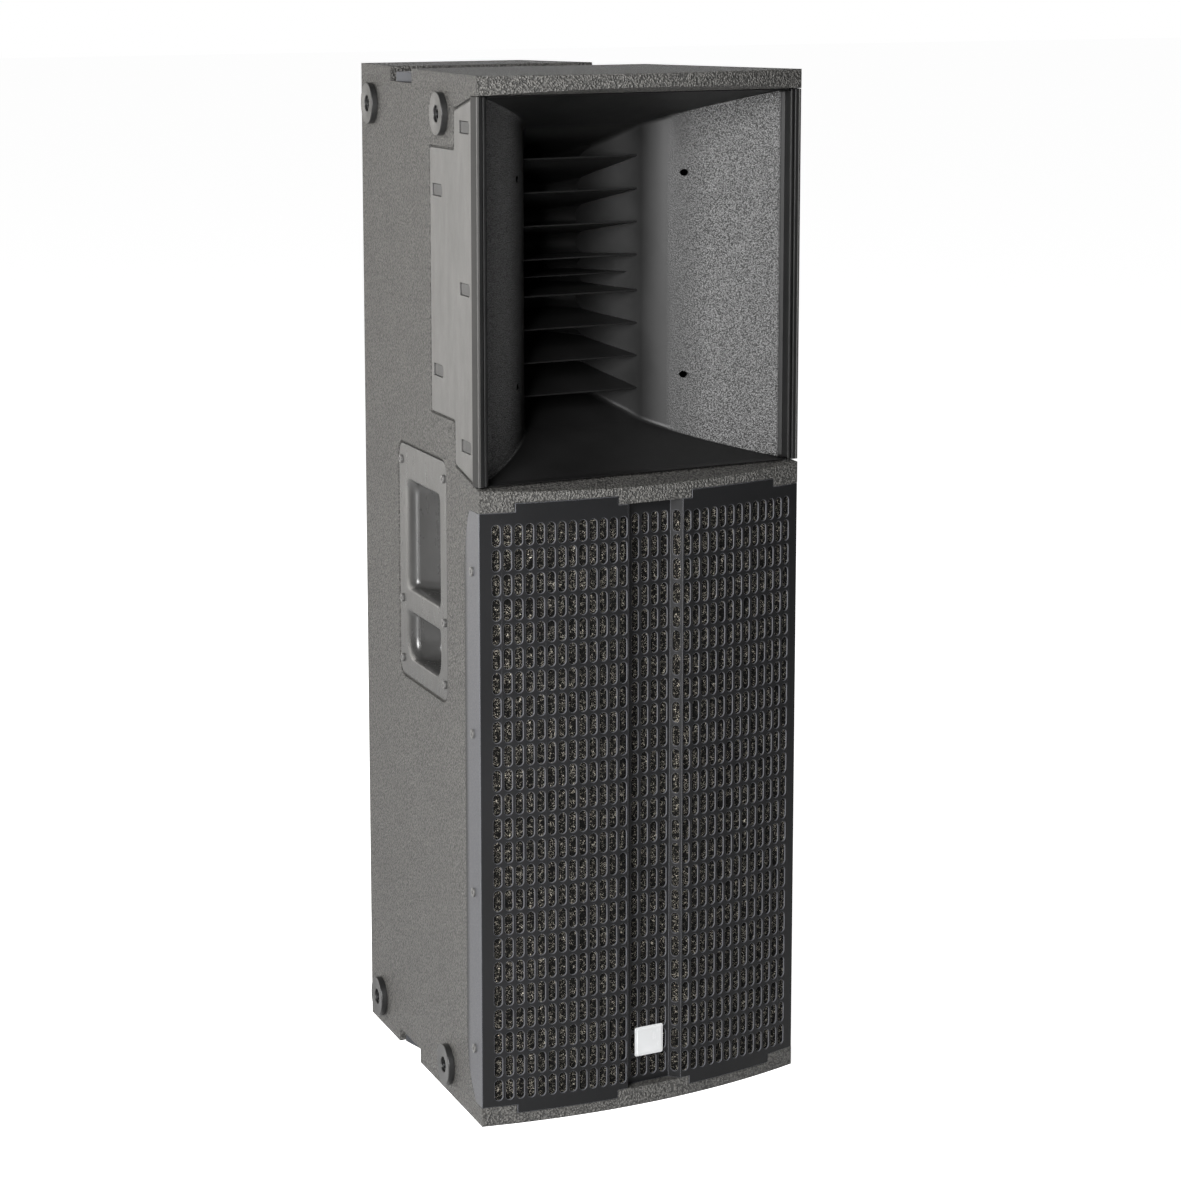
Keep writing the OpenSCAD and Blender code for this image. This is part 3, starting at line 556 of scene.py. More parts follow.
SLOT_LOOKS = {
    "painted_wood": Look.CABINET, "bare_wood": Look.WOOD, "wool": Look.WOOL, "horn_plastic": Look.HORN,
    "dark_plastic": Look.SOCKET, "handle_plastic": Look.HANDLE, "grille_steel": Look.GRILLE,
    "foam": Look.FOAM, "badge_plate": Look.BADGE, "black_screw": Look.SCREW, "foot_rubber": Look.FOOT,
    "steel": Look.STEEL, "rail_alloy": Look.RAIL, "cast_alloy": Look.CAST, "magnet_black": Look.MAGNET,
    "cone_paper": Look.CONE, "surround_cloth": Look.CLOTH, "spider_cloth": Look.SPIDER,
    "amp_steel": Look.PLATE, "board": Look.BOARD, "brass": Look.BRASS, "rocker_red": Look.ROCKER,
    "button_grey": Look.BUTTON, "light_lens": Look.LIGHT,
}

NODE_LOOKS = {"foot_inserts": Look.INSERT, "horn_clips": Look.CLIP}


# ---------------------------------------------------------------- mesh tools


def clear_selection() -> None:
    """Deselects everything."""
    bpy.ops.object.select_all(action="DESELECT")


def pick(obj: bpy.types.Object) -> None:
    """Makes obj the only selected and active object."""
    clear_selection()
    obj.select_set(True)
    bpy.context.view_layer.objects.active = obj


def add_object(name: str, data: bpy.types.ID) -> bpy.types.Object:
    """Puts a mesh, curve, camera or lamp in the scene.

    Args:
        name: The new object's name.
        data: What it shows.

    Returns:
        The new object.
    """
    obj = bpy.data.objects.new(name, data)
    bpy.context.scene.collection.objects.link(obj)
    return obj


def from_work(name: str, work: bmesh.types.BMesh) -> bpy.types.Object:
    """Turns a work mesh into an object.

    Args:
        name: The new object's name.
        work: The work mesh, which is freed.

    Returns:
        The new object.
    """
    mesh = bpy.data.meshes.new(name)
    work.to_mesh(mesh)
    work.free()
    return add_object(name, mesh)


def apply_place(obj: bpy.types.Object) -> None:
    """Moves the object's place into its mesh."""
    pick(obj)
    bpy.ops.object.transform_apply(location=True, rotation=True, scale=True)


def finish_modifier(obj: bpy.types.Object, kind: str, **values: object) -> None:
    """Adds a modifier, sets it and applies it.

    Args:
        obj: The mesh to change.
        kind: The modifier's type.
        values: Its settings, by name.
    """
    pick(obj)
    modifier = obj.modifiers.new(kind.lower(), kind)
    for key, value in values.items():
        setattr(modifier, key, value)
    bpy.ops.object.modifier_apply(modifier=modifier.name)


def tidy_mesh(obj: bpy.types.Object, angle: float = 35.0) -> None:
    """Merges doubles, faces all outward and smooths.

    Args:
        obj: The mesh to tidy.
        angle: Edges flatter than this many degrees are smoothed.
    """
    merge(obj)
    bpy.ops.object.shade_smooth_by_angle(angle=math.radians(angle))
    finish_modifier(obj, "WEIGHTED_NORMAL", weight=90, keep_sharp=True)


def hand_over(obj: bpy.types.Object, look: Look, slot: str, *nodes: str, body: str = ROOT) -> None:
    """Gives a piece its finish and body, and hides the CAD nodes it replaces.

    Args:
        obj: The finished piece, in the row frame.
        look: Its finish.
        slot: The record's material slot; not used.
        nodes: CAD nodes that it replaces.
        body: The CAD body that it moves with.
    """
    obj.data.materials.clear()
    obj.data.materials.append(look.material)
    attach(obj, body)
    if nodes:
        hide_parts(*nodes)


def rounded_outline(corners: Sequence[tuple[float, float, float]], steps: int = 6) -> list[Point]:
    """Rounds the corners of a closed outline.

    Args:
        corners: Each corner as x, y and its radius.
        steps: Straight pieces in each arc.

    Returns:
        The points of the rounded outline.
    """
    points: list[Point] = []
    count = len(corners)
    for i, (x, y, radius) in enumerate(corners):
        here = Vector((x, y))
        before = Vector(corners[i - 1][:2]) - here
        after = Vector(corners[(i + 1) % count][:2]) - here
        if radius <= 0:
            points.append((x, y))
            continue
        turn = before.angle(after)
        reach = min(radius / math.tan(turn / 2), before.length * 0.49, after.length * 0.49)
        start, end = here + before.normalized() * reach, here + after.normalized() * reach
        for k in range(steps + 1):
            t = k / steps
            p = start * (1 - t) ** 2 + here * 2 * t * (1 - t) + end * t ** 2
            points.append((p.x, p.y))
    return points


def flat_plate(name: str, outline: Sequence[Point], holes: Sequence[Sequence[Point]], thick: float,
               edge: float) -> bpy.types.Object:
    """Makes a plate with holes and rounded edges, lying in XY with its outer face at z = 0.

    Args:
        name: The piece's name.
        outline: Its outline, in metres.
        holes: Outlines of its holes.
        thick: Its thickness; it grows towards +Z.
        edge: The radius of its edges.

    Returns:
        The plate as a mesh object.
    """
    curve = bpy.data.curves.new(name, "CURVE")
    curve.dimensions = "2D"
    curve.fill_mode = "BOTH"
    curve.extrude = thick / 2 - edge
    curve.bevel_depth = edge
    curve.bevel_resolution = 1
    curve.offset = -edge
    for ring in (outline, *holes):
        spline = curve.splines.new("POLY")
        spline.points.add(len(ring) - 1)
        for point, (x, y) in zip(spline.points, ring):
            point.co = (x, y, 0.0, 1.0)
        spline.use_cyclic_u = True
    obj = add_object(name, curve)
    obj.location.z = thick / 2
    pick(obj)
    bpy.ops.object.convert(target="MESH")
    obj = bpy.context.view_layer.objects.active
    apply_place(obj)
    return obj


def flat_sheet(name: str, outline: Sequence[Point], holes: Sequence[Sequence[Point]]) -> bpy.types.Object:
    """Fills an outline with holes as one flat sheet in XY, keeping every point.

    Args:
        name: The piece's name.
        outline: Its outline, in metres.
        holes: Outlines of its holes.

    Returns:
        The sheet as a mesh object.
    """
    work = bmesh.new()
    edges = []
    for ring in (outline, *holes):
        points = [work.verts.new((x, y, 0.0)) for x, y in ring]
        edges += [work.edges.new((points[i - 1], points[i])) for i in range(len(points))]
    bmesh.ops.triangle_fill(work, edges=edges, use_beauty=True)
    return from_work(name, work)


def copy_of(obj: bpy.types.Object, name: str) -> bpy.types.Object:
    """Copies a piece.

    Args:
        obj: The piece to copy.
        name: The copy's name.

    Returns:
        The copy, with its own mesh.
    """
    copy = obj.copy()
    copy.data = obj.data.copy()
    copy.name = copy.data.name = name
    bpy.context.scene.collection.objects.link(copy)
    return copy


def merge(obj: bpy.types.Object) -> None:
    """Merges doubles and faces all the same way."""
    pick(obj)
    bpy.ops.object.mode_set(mode="EDIT")
    bpy.ops.mesh.select_all(action="SELECT")
    bpy.ops.mesh.remove_doubles(threshold=DOUBLES)
    bpy.ops.mesh.normals_make_consistent(inside=False)
    bpy.ops.object.mode_set(mode="OBJECT")


def faces_up(obj: bpy.types.Object, way: int) -> bool:
    """Looks which way a skin faces.

    Args:
        obj: The skin.
        way: 1 for up, -1 for down.

    Returns:
        Whether its largest face points that way along Z.
    """
    largest = max(obj.data.polygons, key=lambda p: p.area)
    return largest.normal.z * way > 0


def loft(name: str, rings: Sequence[Sequence[Vector]], close_start: bool = False,
         close_end: bool = False) -> bpy.types.Object:
    """Skins a tube through rings that have as many points each.

    Args:
        name: The piece's name.
        rings: Closed rings of points, in order.
        close_start: Whether the first ring gets a face.
        close_end: Whether the last ring gets a face.

    Returns:
        The skin as a mesh object.
    """
    work = bmesh.new()
    rows = [[work.verts.new(p) for p in ring] for ring in rings]
    count = len(rows[0])
    for a, b in zip(rows, rows[1:]):
        for i in range(count):
            work.faces.new((a[i], a[(i + 1) % count], b[(i + 1) % count], b[i]))
    if close_start:
        work.faces.new(list(reversed(rows[0])))
    if close_end:
        work.faces.new(rows[-1])
    bmesh.ops.recalc_face_normals(work, faces=work.faces)
    return from_work(name, work)


def join(parts: Sequence[bpy.types.Object], name: str) -> bpy.types.Object:
    """Joins several meshes.

    Args:
        parts: The meshes.
        name: The joined piece's name.

    Returns:
        The joined piece.
    """
    pick(parts[0])
    for part in parts:
        part.select_set(True)
    bpy.ops.object.join()
    obj = bpy.context.view_layer.objects.active
    obj.name = obj.data.name = name
    return obj


# ---------------------------------------------------------------- the frame


@dataclass
class Layout:
    """The cabinet's main places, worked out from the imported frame, in metres."""

    frame: dict
    front_w: float = field(init=False)
    chord_y: float = field(init=False)
    taper: float = field(init=False)
    side_len: float = field(init=False)
    bow_r: float = field(init=False)
    bow_y: float = field(init=False)
    horn_z0: float = field(init=False)
    horn_z1: float = field(init=False)

    def __post_init__(self) -> None:
        """Measures the plates, panels and horn."""
        low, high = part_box("bottom_plate")
        horn_low, horn_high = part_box("horn_shell")
        self.front_w = high[0] - low[0]
        self.chord_y = horn_low[1]
        self.horn_z0, self.horn_z1 = horn_low[2], horn_high[2]
        run = high[1] - self.chord_y
        self.taper = math.atan((self.front_w / 2 - self.rear_half(high[1])) / run)
        self.side_len = run / math.cos(self.taper)
        bow = self.chord_y - low[1]
        self.bow_r = ((self.front_w / 2) ** 2 + bow ** 2) / (2 * bow)
        self.bow_y = low[1] + self.bow_r

    def rear_half(self, rear_y: float) -> float:
        """Returns half the width of the cabinet's rear edge, which lies at that Y."""
        mesh = self.frame["nodes"]["bottom_plate"].data
        return max(v.co.x for v in mesh.vertices if v.co.y > rear_y - 0.5 * MM)

    def front_y(self, x: float) -> float:
        """Returns the Y of the bowed front at x."""
        return self.bow_y - math.sqrt(self.bow_r ** 2 - x * x)

    def side_matrix(self, side: int) -> Matrix:
        """Places a plate drawn in (back, up), growing inward, on a side.

        Args:
            side: -1 for the left side (-X), 1 for the right.

        Returns:
            The matrix that moves it there.
        """
        turn = Matrix.Rotation(-self.taper, 4, "Z")
        axes = Matrix(((0, 0, 1, 0), (1, 0, 0, 0), (0, 1, 0, 0), (0, 0, 0, 1)))
        place = Matrix.Translation((-self.front_w / 2, self.chord_y, 0)) @ turn @ axes
        return Matrix.Diagonal((-1, 1, 1, 1)) @ place if side > 0 else place

    def put_on_side(self, obj: bpy.types.Object, side: int, inset: float = 0.0) -> None:
        """Moves a flat piece's mesh to a side.

        Args:
            obj: The piece, drawn in (back, up).
            side: -1 for the left side (-X), 1 for the right.
            inset: How far its face lies inside the side's surface.
        """
        obj.data.transform(self.side_matrix(side) @ Matrix.Translation((0, 0, inset)))
        if side > 0:
            obj.data.flip_normals()


@dataclass
class Cabinet:
    """The wooden body: its panels and plates."""

    layout: Layout
    edge_r: float = 4.0 * MM
    nodes: tuple[str, ...] = ("side_panel_left", "side_panel_right", "top_plate", "mid_plate", "bottom_plate")

    def soften(self) -> None:
        """Rounds the panels' sawn edges, leaving their own meshes alone."""
        for name in self.nodes:
            obj = self.layout.frame["nodes"][name]
            weld = obj.modifiers.new("weld", "WELD")
            weld.merge_threshold = DOUBLES
            dissolve = obj.modifiers.new("dissolve", "DECIMATE")
            dissolve.decimate_type = "DISSOLVE"
            dissolve.angle_limit = math.radians(0.8)
            bevel = obj.modifiers.new("bevel", "BEVEL")
            bevel.width = self.edge_r
            bevel.segments = 4
            bevel.limit_method = "ANGLE"
            bevel.angle_limit = math.radians(60)
            normals = obj.modifiers.new("normals", "WEIGHTED_NORMAL")
            normals.weight = 100
            normals.keep_sharp = False
            LOG.info("softened %s", name)


@dataclass(frozen=True)
class Strip:
    """One upright strip of the horn's rim, the same on both sides.

    Attributes:
        name: Its name.
        outer: How far in from the cabinet's side it starts.
        inner: How far in it ends.
        front: How far its face lies behind the front corners.
        back: How far its rear lies behind them.
    """

    name: str
    outer: float
    inner: float
    front: float
    back: float


@dataclass
class Horn:
    """The horn moulding: flared walls, rim, side wings, and the vanes in its throat."""

    layout: Layout
    rim_w: float = 11 * MM
    lip_v: float = 11 * MM
    wall_t: float = 3 * MM
    wing_t: float = 2.5 * MM
    corner_r: float = 5 * MM
    throat_h: float = 275 * MM
    throat_w: float = 125.5 * MM
    exit_w: float = 50 * MM
    exit_share: float = 0.72
    vane_count: int = 8
    first_vane: float = 0.123
    vane_gap: float = 0.224
    end_level: float = 0.985
    flare_power: float = 1.35
    rings: int = 26
    cell_rings: int = 8
    wall_hole: Point = (0.262, 0.343)
    wall_hole_r: float = 3.2 * MM
    drill_y: float = 70 * MM
    drill_len: float = 80 * MM
    strips: tuple[Strip, ...] = (
        Strip("outer", 0.3 * MM, 6.4 * MM, 0.6 * MM, 12 * MM),
        Strip("inner", 7.1 * MM, 10.5 * MM, 1.6 * MM, 10 * MM),
        Strip("groove", 4 * MM, 9 * MM, 3.6 * MM, 10 * MM),
    )
    window_half: Point = (15 * MM, 5.5 * MM)
    windows_at: tuple[Point, ...] = (
        (0.099, 0.917), (0.324, 0.743), (0.102, 0.502), (0.324, 0.267), (0.098, 0.094))

    def __post_init__(self) -> None:
        """Works out the levels and depths from the frame."""
        low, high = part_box("horn_vanes")
        self.throat_v = low[1] - self.layout.chord_y
        self.cell_v = high[1] + 2 * MM - self.layout.chord_y
        self.mid_z = (self.layout.horn_z0 + self.layout.horn_z1) / 2
        self.mouth_w = self.layout.front_w - 2 * self.rim_w
        self.mouth_h = self.layout.horn_z1 - self.layout.horn_z0 - 2 * MM

    def half_width(self, v: float) -> float:
        """Returns half the inside width, v behind the front corners."""
        if v <= self.throat_v:
            u = max(0.0, (v - self.lip_v) / (self.throat_v - self.lip_v))
            return self.throat_w / 2 + (self.mouth_w - self.throat_w) / 2 * (1 - u) ** self.flare_power
        u = (v - self.throat_v) / (self.cell_v - self.throat_v)
        return self.throat_w / 2 + (self.exit_w - self.throat_w) / 2 * math.sin(u * math.pi / 2) ** 1.2

    def half_height(self, v: float) -> float:
        """Returns half the inside height, v behind the front corners."""
        if v <= self.throat_v:
            u = max(0.0, (v - self.lip_v) / (self.throat_v - self.lip_v))
            return self.mouth_h / 2 + (self.throat_h - self.mouth_h) / 2 * u
        u = (v - self.throat_v) / (self.cell_v - self.throat_v)
        return self.throat_h / 2 * (1 - (1 - self.exit_share) * u)

    def ring(self, v: float, grow: float, radius: float) -> list[Vector]:
        """One rounded rectangle of the flare.

        Args:
            v: Its depth behind the front corners.
            grow: How far it is grown outward.
            radius: Its corner radius.

        Returns:
            Its points.
        """
        a, b = self.half_width(v) + grow, self.half_height(v) + grow
        r = min(radius, a * 0.4, b * 0.4)
        outline = rounded_outline([(-a, -b, r), (a, -b, r), (a, b, r), (-a, b, r)])
        y = self.layout.chord_y + v
        return [Vector((x, y, self.mid_z + z)) for x, z in outline]

    def flare(self) -> bpy.types.Object:
        """Returns the inside walls and their outer skin, closed at mouth and exit."""
        depths = [self.lip_v * 0.2]
        depths += [self.lip_v + (self.throat_v - self.lip_v) * k / self.rings for k in range(self.rings + 1)]
        cell = (self.cell_v - self.throat_v) / self.cell_rings
        depths += [self.throat_v + cell * k for k in range(1, self.cell_rings + 1)]
        inside = [self.ring(v, 0.0, self.corner_r * (0.5 + 0.5 * min(1, v / self.throat_v))) for v in depths]
        walls = [self.wall_t if v > 2 * self.lip_v else 0.6 * MM for v in depths]
        outside = [self.ring(v, wall, self.corner_r) for v, wall in zip(depths, walls)]
        return loft("horn_flare", inside + outside[::-1] + [inside[0]])

    def rim(self, side: int) -> list[bpy.types.Object]:
        """Makes the strips that frame the mouth on one side, with a groove between them.

        Args:
            side: -1 for the left side (-X), 1 for the right.

        Returns:
            The strips.
        """
        pieces = []
        edge, y = self.layout.front_w / 2, self.layout.chord_y
        for strip in self.strips:
            clear_selection()
            bpy.ops.mesh.primitive_cube_add(size=1.0)
            piece = bpy.context.active_object
            piece.name = f"rim_{strip.name}"
            piece.scale = (strip.inner - strip.outer, strip.back - strip.front, self.mouth_h + 1.4 * MM)
            middle = (strip.outer + strip.inner) / 2
            piece.location = (side * (edge - middle), y + (strip.front + strip.back) / 2, self.mid_z)
            apply_place(piece)
            finish_modifier(piece, "BEVEL", width=1.1 * MM, segments=3, limit_method="ANGLE")
            pieces.append(piece)
        return pieces

    def wing_outline(self) -> list[tuple[float, float, float]]:
        """Returns the wing's stepped outline on the side, drawn in (back, up)."""
        h0, h1 = self.layout.horn_z0, self.layout.horn_z1
        back, step = self.layout.side_len * 0.384, self.layout.side_len * 0.187
        r = 4 * MM
        return [
            (0.4 * MM, h1 - 0.4 * MM, 0.5 * MM),
            (step - 2 * MM, h1 - 15.5 * MM, r), (step - 2 * MM, h1 - 50 * MM, r), (back, h1 - 51 * MM, r),
            (back, h0 + 53 * MM, r), (step, h0 + 53 * MM, r), (step, h0 + 13 * MM, r),
            (0.4 * MM, h0 + 0.4 * MM, 0.5 * MM),
        ]

    def windows(self) -> list[list[Point]]:
        """Returns the outlines of the snap windows in a wing."""
        holes = []
        w, h = self.window_half
        for back, up in self.windows_at:
            s = back * self.layout.side_len
            z = self.layout.horn_z0 + up * (self.layout.horn_z1 - self.layout.horn_z0)
            holes.append(rounded_outline([(s - w, z - h, 5 * MM), (s + w, z - h, 1 * MM),
                                          (s + w, z + h, 1 * MM), (s - w, z + h, 5 * MM)]))
        return holes

    def wing(self, side: int) -> bpy.types.Object:
        """Returns the satin wing let into a side panel: -1 for the left one, 1 for the right."""
        outline = rounded_outline(self.wing_outline())
        plate = flat_plate(f"wing_{side}", outline, self.windows(), self.wing_t, 0.5 * MM)
        self.layout.put_on_side(plate, side)
        return plate

    def vane(self, place: float, front_t: float, back_t: float, start_v: float) -> bpy.types.Object:
        """One vane: thin and rounded in front, thicker towards the exit.

        Args:
            place: Its level at the throat, from -1 at the bottom to 1 at the top.
            front_t: Its thickness at the front edge.
            back_t: Its thickness at the rear edge.
            start_v: Where its front edge lies.

        Returns:
            The vane.
        """
        rings = []
        steps = 10
        for k in range(steps + 1):
            v = start_v + (self.cell_v - 3 * MM - start_v) * k / steps
            share = (v - self.throat_v) / (self.cell_v - self.throat_v)
            z = self.mid_z + place * self.throat_h / 2 * (1 - (1 - self.exit_share) * share)
            t = front_t + (back_t - front_t) * (k / steps) ** 1.3
            a = self.half_width(v) + 0.3 * MM
            y = self.layout.chord_y + v
            rings.append([Vector((-a, y, z - t / 2)), Vector((a, y, z - t / 2)),
                          Vector((a, y, z + t / 2)), Vector((-a, y, z + t / 2))])
        return loft("vane", rings, close_start=True, close_end=True)

    def scoop(self, low: float, high: float) -> bpy.types.Object:
        """The curved rear wall of one cell, from one vane to the next.

        Args:
            low: Level of the cell's lower vane, from -1 to 1.
            high: Level of its upper vane.

        Returns:
            The wall.
        """
        rings = []
        steps = 8
        for k in range(steps + 1):
            turn = math.pi * k / steps
            level = (low + high) / 2 - (high - low) / 2 * math.cos(turn)
            v = self.cell_v - (self.cell_v - self.throat_v) * (0.52 - 0.24 * math.sin(turn))
            share = (v - self.throat_v) / (self.cell_v - self.throat_v)
            z = self.mid_z + level * self.throat_h / 2 * (1 - (1 - self.exit_share) * share)
            a = self.half_width(v) + 0.3 * MM
            y = self.layout.chord_y + v
            flat, hollow, rear = a * 0.12, y + 9 * MM, y + 12 * MM
            plan = ((-a, y), (-flat, hollow), (flat, hollow), (a, y), (a, rear), (-a, rear))
            rings.append([Vector((px, py, z)) for px, py in plan])
        return loft("scoop", rings, close_start=True, close_end=True)

    def vanes(self) -> bpy.types.Object:
        """Returns all the vanes, the seam plate between the horn's halves, and the cells' rear walls."""
        parts = []
        places = [side * (self.first_vane + self.vane_gap * k)
                  for k in range(self.vane_count // 2) for side in (-1, 1)]
        levels = [-self.end_level, *sorted(places), self.end_level]
        parts += [self.scoop(a, b) for a, b in zip(levels, levels[1:])]
        parts += [self.vane(place, 1.7 * MM, 8 * MM, self.throat_v) for place in places]
        parts.append(self.vane(0.0, 1.2 * MM, 3 * MM, self.throat_v + 10 * MM))
        piece = join(parts, "horn_vane_set")
        finish_modifier(piece, "BEVEL", width=0.5 * MM, segments=2, limit_method="ANGLE")
        return piece

    def drills(self) -> bpy.types.Object:
        """Returns cutters for the two small holes in each side wall, drilled straight back."""
        parts = []
        for side in (-1, 1):
            for up in (-1, 1):
                clear_selection()
                bpy.ops.mesh.primitive_cylinder_add(
                    vertices=24, radius=self.wall_hole_r, depth=self.drill_len)
                drill = bpy.context.active_object
                drill.rotation_euler = (math.pi / 2, 0, 0)
                drill.location = (side * self.layout.front_w * self.wall_hole[0],
                                  self.layout.chord_y + self.drill_y,
                                  self.mid_z + up * self.throat_h * self.wall_hole[1])
                apply_place(drill)
                parts.append(drill)
        return join(parts, "horn_drills")

    def build(self) -> None:
        """Makes the moulding and its vanes, and hands them over."""
        walls, drills = self.flare(), self.drills()
        merge(walls)
        finish_modifier(walls, "BOOLEAN", operation="DIFFERENCE", object=drills, solver="EXACT")
        bpy.data.objects.remove(drills)
        flare = join([walls, *self.rim(-1), *self.rim(1)], "horn_moulding")
        tidy_mesh(flare, 30)
        hand_over(flare, Look.HORN, "horn_plastic", "horn_shell")
        for side, word in ((-1, "left"), (1, "right")):
            wing = self.wing(side)
            wing.name = f"horn_wing_{word}"
            tidy_mesh(wing, 30)
            hand_over(wing, Look.WING, "horn_plastic")
        vanes = self.vanes()
        tidy_mesh(vanes, 30)
        hand_over(vanes, Look.HORN, "horn_plastic", "horn_vanes")
        LOG.info("horn moulding, wings and %d vanes", self.vane_count)


@dataclass(frozen=True)
class Pocket:
    """A recess in the handle plate, in mm from the plate's lower front corner.

    Attributes:
        area: Front, rear, low and high edges of the opening.
        radii: Corner radii: front low, rear low, rear high, front high.
        blends: How far each edge blends out over the plate: front, rear, low, high.
        depth: Depth of the floor.
        lean: How far the rear wall leans forward by the floor.
    """

    area: tuple[float, float, float, float]
    radii: tuple[float, float, float, float]
    blends: tuple[float, float, float, float]
    depth: float
    lean: float


@dataclass
class Handles:
    """The moulded handle plate on each side, with a grip and a finger rest."""

    layout: Layout
    plate_t: float = 2.6 * MM
    inset: float = 0.4 * MM
    plate_w: float = 156 * MM
    corner_r: float = 14 * MM
    edge_r: float = 0.9 * MM
    skin_t: float = 1.1 * MM
    blend_depth: float = 9 * MM
    blend_r: float = 4 * MM
    floor_r: float = 9 * MM
    early_lean: float = 0.06
    grip: Pocket = Pocket((22, 122, 88, 189), (6, 8, 12, 7), (1.2, 15, 4, 4), 50, 40)
    rest: Pocket = Pocket((22, 122, 20, 62), (18, 35, 4, 5), (1.2, 15, 3, 4), 33, 20)

    def __post_init__(self) -> None:
        """Works out the plate's place from its solid."""
        low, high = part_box("handle_left")
        self.z0, self.z1 = low[2], high[2]
        self.s0 = self.layout.side_len * 0.268
        self.s1 = self.s0 + self.plate_w

    def outline(self, grow: float) -> list[Point]:
        """Returns the plate's rounded outline, grown outward."""
        s0, s1, z0, z1 = self.s0 - grow, self.s1 + grow, self.z0 - grow, self.z1 + grow
        r = self.corner_r + grow
        return rounded_outline([(s0, z0, r), (s1, z0, r), (s1, z1, r), (s0, z1, r)], 8)

    def ring(self, pocket: Pocket, z: float, spread: float, shift: float, tight: float) -> list[Vector]:
        """One ring of a pocket.

        Args:
            pocket: The pocket.
            z: The ring's depth.
            spread: How much of the pocket's blends it has, from 0 to 1.
            shift: How far its rear edge has moved forward.
            tight: How far all its edges have moved in.

        Returns:
            The ring's points.
        """
        front, rear, low, high = (edge * MM for edge in pocket.area)
        s0 = self.s0 + front - pocket.blends[0] * MM * spread + tight
        s1 = self.s0 + rear + pocket.blends[1] * MM * spread - tight - shift
        z0 = self.z0 + low - pocket.blends[2] * MM * spread + tight
        z1 = self.z0 + high + pocket.blends[3] * MM * spread - tight
        r = [x * MM + self.blend_r * spread for x in pocket.radii]
        outline = rounded_outline([(s0, z0, r[0]), (s1, z0, r[1]), (s1, z1, r[2]), (s0, z1, r[3])], 8)
        return [Vector((x, y, z)) for x, y in outline]

    def rings(self, pocket: Pocket) -> list[list[Vector]]:
        """Returns the rings of a pocket, from the plate's face to the floor."""
        found = []
        depth, lean = pocket.depth * MM, pocket.lean * MM
        for k in range(9):
            turn = math.pi / 2 * k / 8
            found.append(self.ring(pocket, self.blend_depth * (1 - math.cos(turn)), 1 - math.sin(turn),
                                   lean * self.early_lean * math.sin(turn), 0.0))
        wall = depth - self.floor_r - self.blend_depth
        for k in range(1, 9):
            u = k / 8
            shift = lean * (self.early_lean + (1 - self.early_lean) * u ** 0.85)
            found.append(self.ring(pocket, self.blend_depth + wall * u, 0.0, shift, 0.0))
        for k in range(1, 7):
            turn = math.pi / 2 * k / 6
            found.append(self.ring(pocket, depth - self.floor_r * (1 - math.sin(turn)), 0.0, lean,
                                   self.floor_r * (1 - math.cos(turn))))
        return found

    def shell(self) -> bpy.types.Object:
        """Returns the plate's face, rim and both pockets as one skin, lying in (back, up)."""
        grip, rest = self.rings(self.grip), self.rings(self.rest)
        openings = [[(p.x, p.y) for p in rings[0]] for rings in (grip, rest)]
        face = flat_sheet("handle_face", self.outline(-self.edge_r), openings)
        rim = []
        for k in range(5):
            turn = math.pi / 2 * k / 4
            outline = self.outline(-self.edge_r * (1 - math.sin(turn)))
            rim.append([Vector((x, y, self.edge_r * (1 - math.cos(turn)))) for x, y in outline])
        rim.append([Vector((x, y, self.plate_t)) for x, y in self.outline(0.0)])
        pockets = [loft("grip", grip, close_end=True), loft("rest", rest, close_end=True)]
        skin = join([face, loft("rim", rim), *pockets], "handle_skin")
        merge(skin)
        finish_modifier(skin, "SOLIDIFY", thickness=self.skin_t, offset=-1.0 if faces_up(skin, -1) else 1.0)
        return skin

    def build(self) -> None:
        """Makes the skin once and places a copy on each side."""
        model = self.shell()
        for side, word in ((-1, "left"), (1, "right")):
            piece = copy_of(model, f"handle_plate_{word}")
            self.layout.put_on_side(piece, side, self.inset)
            tidy_mesh(piece, 38)
            hand_over(piece, Look.HANDLE, "handle_plastic", f"handle_{word}")
        bpy.data.objects.remove(model)
        LOG.info("two handle plates")


@dataclass
class Foam:
    """The acoustic foam that follows the grille from behind."""

    layout: Layout
    gap: float = 0.7 * MM
    thick: float = 4.4 * MM
    grille_t: float = 1.5 * MM
    channel_share: float = 0.0856
    channel_depth: float = 11 * MM
    shoulder_w: float = 7.2 * MM
    ripple: float = 0.25 * MM
    columns: int = 120
    rows: int = 150

    def face_y(self, x: float) -> float:
        """Returns the Y of the grille's outer face at x: bowed, with a channel in the middle."""
        channel = self.layout.front_w * self.channel_share + self.grille_t
        near = min(1.0, max(0.0, (channel - abs(x)) / self.shoulder_w))
        return self.layout.front_y(x) * (1 - near) + (self.layout.front_y(0) + self.channel_depth) * near

    def build(self) -> None:
        """Makes the foam sheet with a slightly uneven face."""
        low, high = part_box("grille_foam")
        half = high[0] - 0.5 * MM
        work = bmesh.new()
        grid = []
        for r in range(self.rows + 1):
            z = low[2] + (high[2] - low[2]) * r / self.rows
            row = []
            for c in range(self.columns + 1):
                x = -half + 2 * half * c / self.columns
                wave = self.ripple * math.sin(c * 12.9898 + r * 78.233) * math.cos(c * 3.7 - r * 5.1)
                row.append(work.verts.new((x, self.face_y(x) + self.grille_t + self.gap + wave, z)))
            grid.append(row)
        for a, b in zip(grid, grid[1:]):
            for i in range(self.columns):
                work.faces.new((a[i], a[i + 1], b[i + 1], b[i]))
        sheet = from_work("foam_sheet", work)
        finish_modifier(sheet, "SOLIDIFY", thickness=self.thick, offset=-1.0)
        tidy_mesh(sheet, 60)
        hand_over(sheet, Look.FOAM, "foam", "grille_foam")
        LOG.info("grille foam")


